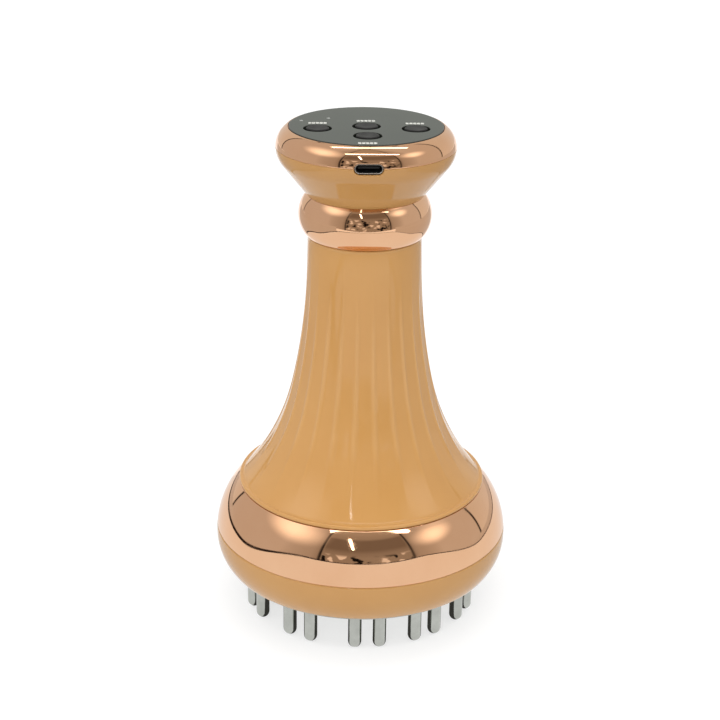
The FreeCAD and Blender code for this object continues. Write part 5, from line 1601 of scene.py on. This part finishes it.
    def add_surroundings(self) -> None:
        """Adds the room as a background: warm grey in front with two dark posts, paler behind.

        The two halves meet where the direction's y plus a part of its x passes a limit. The camera
        itself sees plain white.
        """
        world = bpy.data.worlds.new("studio")
        bpy.context.scene.world = world
        world.use_nodes = True
        tree = world.node_tree
        tree.nodes.clear()
        way = add_node(tree, "ShaderNodeTexCoord")
        axes = add_node(tree, "ShaderNodeSeparateXYZ", {"Vector": way.outputs["Generated"]})
        ahead = add_node(tree, "ShaderNodeMath", {0: axes.outputs["Y"], 1: -1.0}, operation="MULTIPLY")
        safe = add_node(tree, "ShaderNodeMath", {0: ahead.outputs["Value"], 1: self.least_ahead},
                        operation="MAXIMUM")
        across = add_node(tree, "ShaderNodeMath", {0: axes.outputs["X"], 1: safe.outputs["Value"]},
                          operation="DIVIDE").outputs["Value"]
        up, around = axes.outputs["Z"], way.outputs["Generated"]
        clutter = add_node(tree, "ShaderNodeTexNoise", {"Vector": around, "Scale": self.things_scale})
        beyond = add_node(tree, "ShaderNodeMix", {
            WEIGHT: self.bands(tree, up, LEVELS, self.shelf), FIRST: self.bands(tree, up, LEVELS, self.pane),
            SECOND: self.bands(tree, clutter.outputs["Fac"], SHARES, self.things)}, data_type="RGBA")
        front = add_node(tree, "ShaderNodeMix", {
            WEIGHT: self.bands(tree, across, self.front_reach, self.window),
            FIRST: self.bands(tree, across, self.front_reach, self.walls), SECOND: beyond.outputs[MIXED]},
            data_type="RGBA")
        for centre, spread in self.glows:
            front = add_node(tree, "ShaderNodeMix", {
                WEIGHT: self.glow(tree, around, centre, spread), FIRST: front.outputs[MIXED],
                SECOND: linear(self.glow_tone)}, data_type="RGBA", blend_type="ADD")
        back = add_node(tree, "ShaderNodeMix", {
            WEIGHT: self.glow(tree, around, *self.back_shade), FIRST: self.bands(tree, up, LEVELS, self.rear),
            SECOND: linear(self.shade_tone)}, data_type="RGBA")
        lean = add_node(tree, "ShaderNodeMath", {
            0: axes.outputs["X"], 1: self.corner_lean, 2: axes.outputs["Y"]},
            operation="MULTIPLY_ADD").outputs["Value"]
        begin, done = self.corner_at
        turn = add_node(tree, "ShaderNodeMapRange", {"Value": lean, "From Min": begin, "From Max": done})
        room = add_node(tree, "ShaderNodeMix", {
            WEIGHT: turn.outputs["Result"], FIRST: front.outputs[MIXED], SECOND: back.outputs[MIXED]},
            data_type="RGBA")
        lined = add_node(tree, "ShaderNodeMix", {
            WEIGHT: 1.0, FIRST: room.outputs[MIXED], SECOND: self.bands(tree, lean, LEVELS, self.corner)},
            data_type="RGBA", blend_type="MULTIPLY")
        lit = add_node(tree, "ShaderNodeBackground", {"Color": lined.outputs[MIXED]})
        plain = add_node(tree, "ShaderNodeBackground", {"Color": linear("#FFFFFF")})
        path = add_node(tree, "ShaderNodeLightPath")
        both = add_node(tree, "ShaderNodeMixShader", {
            0: path.outputs["Is Camera Ray"], 1: lit.outputs["Background"], 2: plain.outputs["Background"]})
        add_node(tree, "ShaderNodeOutputWorld", {"Surface": both.outputs["Shader"]})

    def glow(self, tree: Tree, way: Socket, centre: Corner, spread: Corner) -> Socket:
        """Soft patch of light on the wall: one near a direction, fading to nothing at its spread.

        Args:
            tree: Node tree of the surroundings.
            way: Direction of view.
            centre: Direction of the patch's middle.
            spread: How far it reaches along each axis.

        Returns:
            Socket with the patch's weight.
        """
        away = add_node(tree, "ShaderNodeVectorMath", {0: way, 1: centre}, operation="SUBTRACT")
        share = add_node(tree, "ShaderNodeVectorMath", {0: away.outputs["Vector"], 1: spread},
                         operation="DIVIDE")
        reach = add_node(tree, "ShaderNodeVectorMath", {0: share.outputs["Vector"]}, operation="LENGTH")
        weight = add_node(tree, "ShaderNodeMapRange", {
            "Value": reach.outputs["Value"], "From Min": 1.0, "From Max": self.glow_core},
            interpolation_type="SMOOTHSTEP")
        return weight.outputs["Result"]

    @staticmethod
    def bands(tree: Tree, value: Socket, reach: Place, stops: Stops) -> Socket:
        """Tones by a value such as the height above the horizon.

        Args:
            tree: Node tree of the surroundings.
            value: Value that picks the tone.
            reach: Lowest and highest value.
            stops: Value and tone of each stop, rising.

        Returns:
            Colour socket.
        """
        low, high = reach
        share = add_node(tree, "ShaderNodeMapRange", {"Value": value, "From Min": low, "From Max": high})
        ramp = add_node(tree, "ShaderNodeValToRGB", {"Fac": share.outputs["Result"]})
        elements = ramp.color_ramp.elements
        elements.remove(elements[1])
        elements[0].color = linear(stops[0][1])
        for level, tone in stops:
            elements.new((level - low) / (high - low)).color = linear(tone)
        return ramp.outputs["Color"]

    def add_camera(self) -> None:
        """Adds the camera at the photograph's distance, height and slight tilt."""
        data = bpy.data.cameras.new("camera")
        data.lens, data.sensor_width = self.lens, self.sensor
        data.clip_start, data.clip_end = self.clip
        camera = add_object("camera", data)
        away = Vector((math.sin(self.azimuth) * math.cos(self.pitch),
                       -math.cos(self.azimuth) * math.cos(self.pitch), math.sin(self.pitch)))
        turn = away.to_track_quat("Z", "Y").to_matrix().to_4x4() @ Matrix.Rotation(self.roll, 4, "Z")
        side = turn.to_3x3() @ Vector((-self.offset, 0, 0))
        camera.matrix_world = Matrix.Translation(Vector(self.aim) + side + away * self.distance) @ turn
        bpy.context.scene.camera = camera


def main() -> None:
    """Dresses the solids, builds the new pieces in order and sets up the studio."""
    logging.basicConfig(level=logging.INFO, format="%(name)s %(message)s")
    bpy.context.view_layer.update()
    Inside().dress()
    for assembly in (Base(), Handle(), NeckRing(), Head()):
        assembly.build()
    Studio().build()


if __name__ == "__main__":
    main()
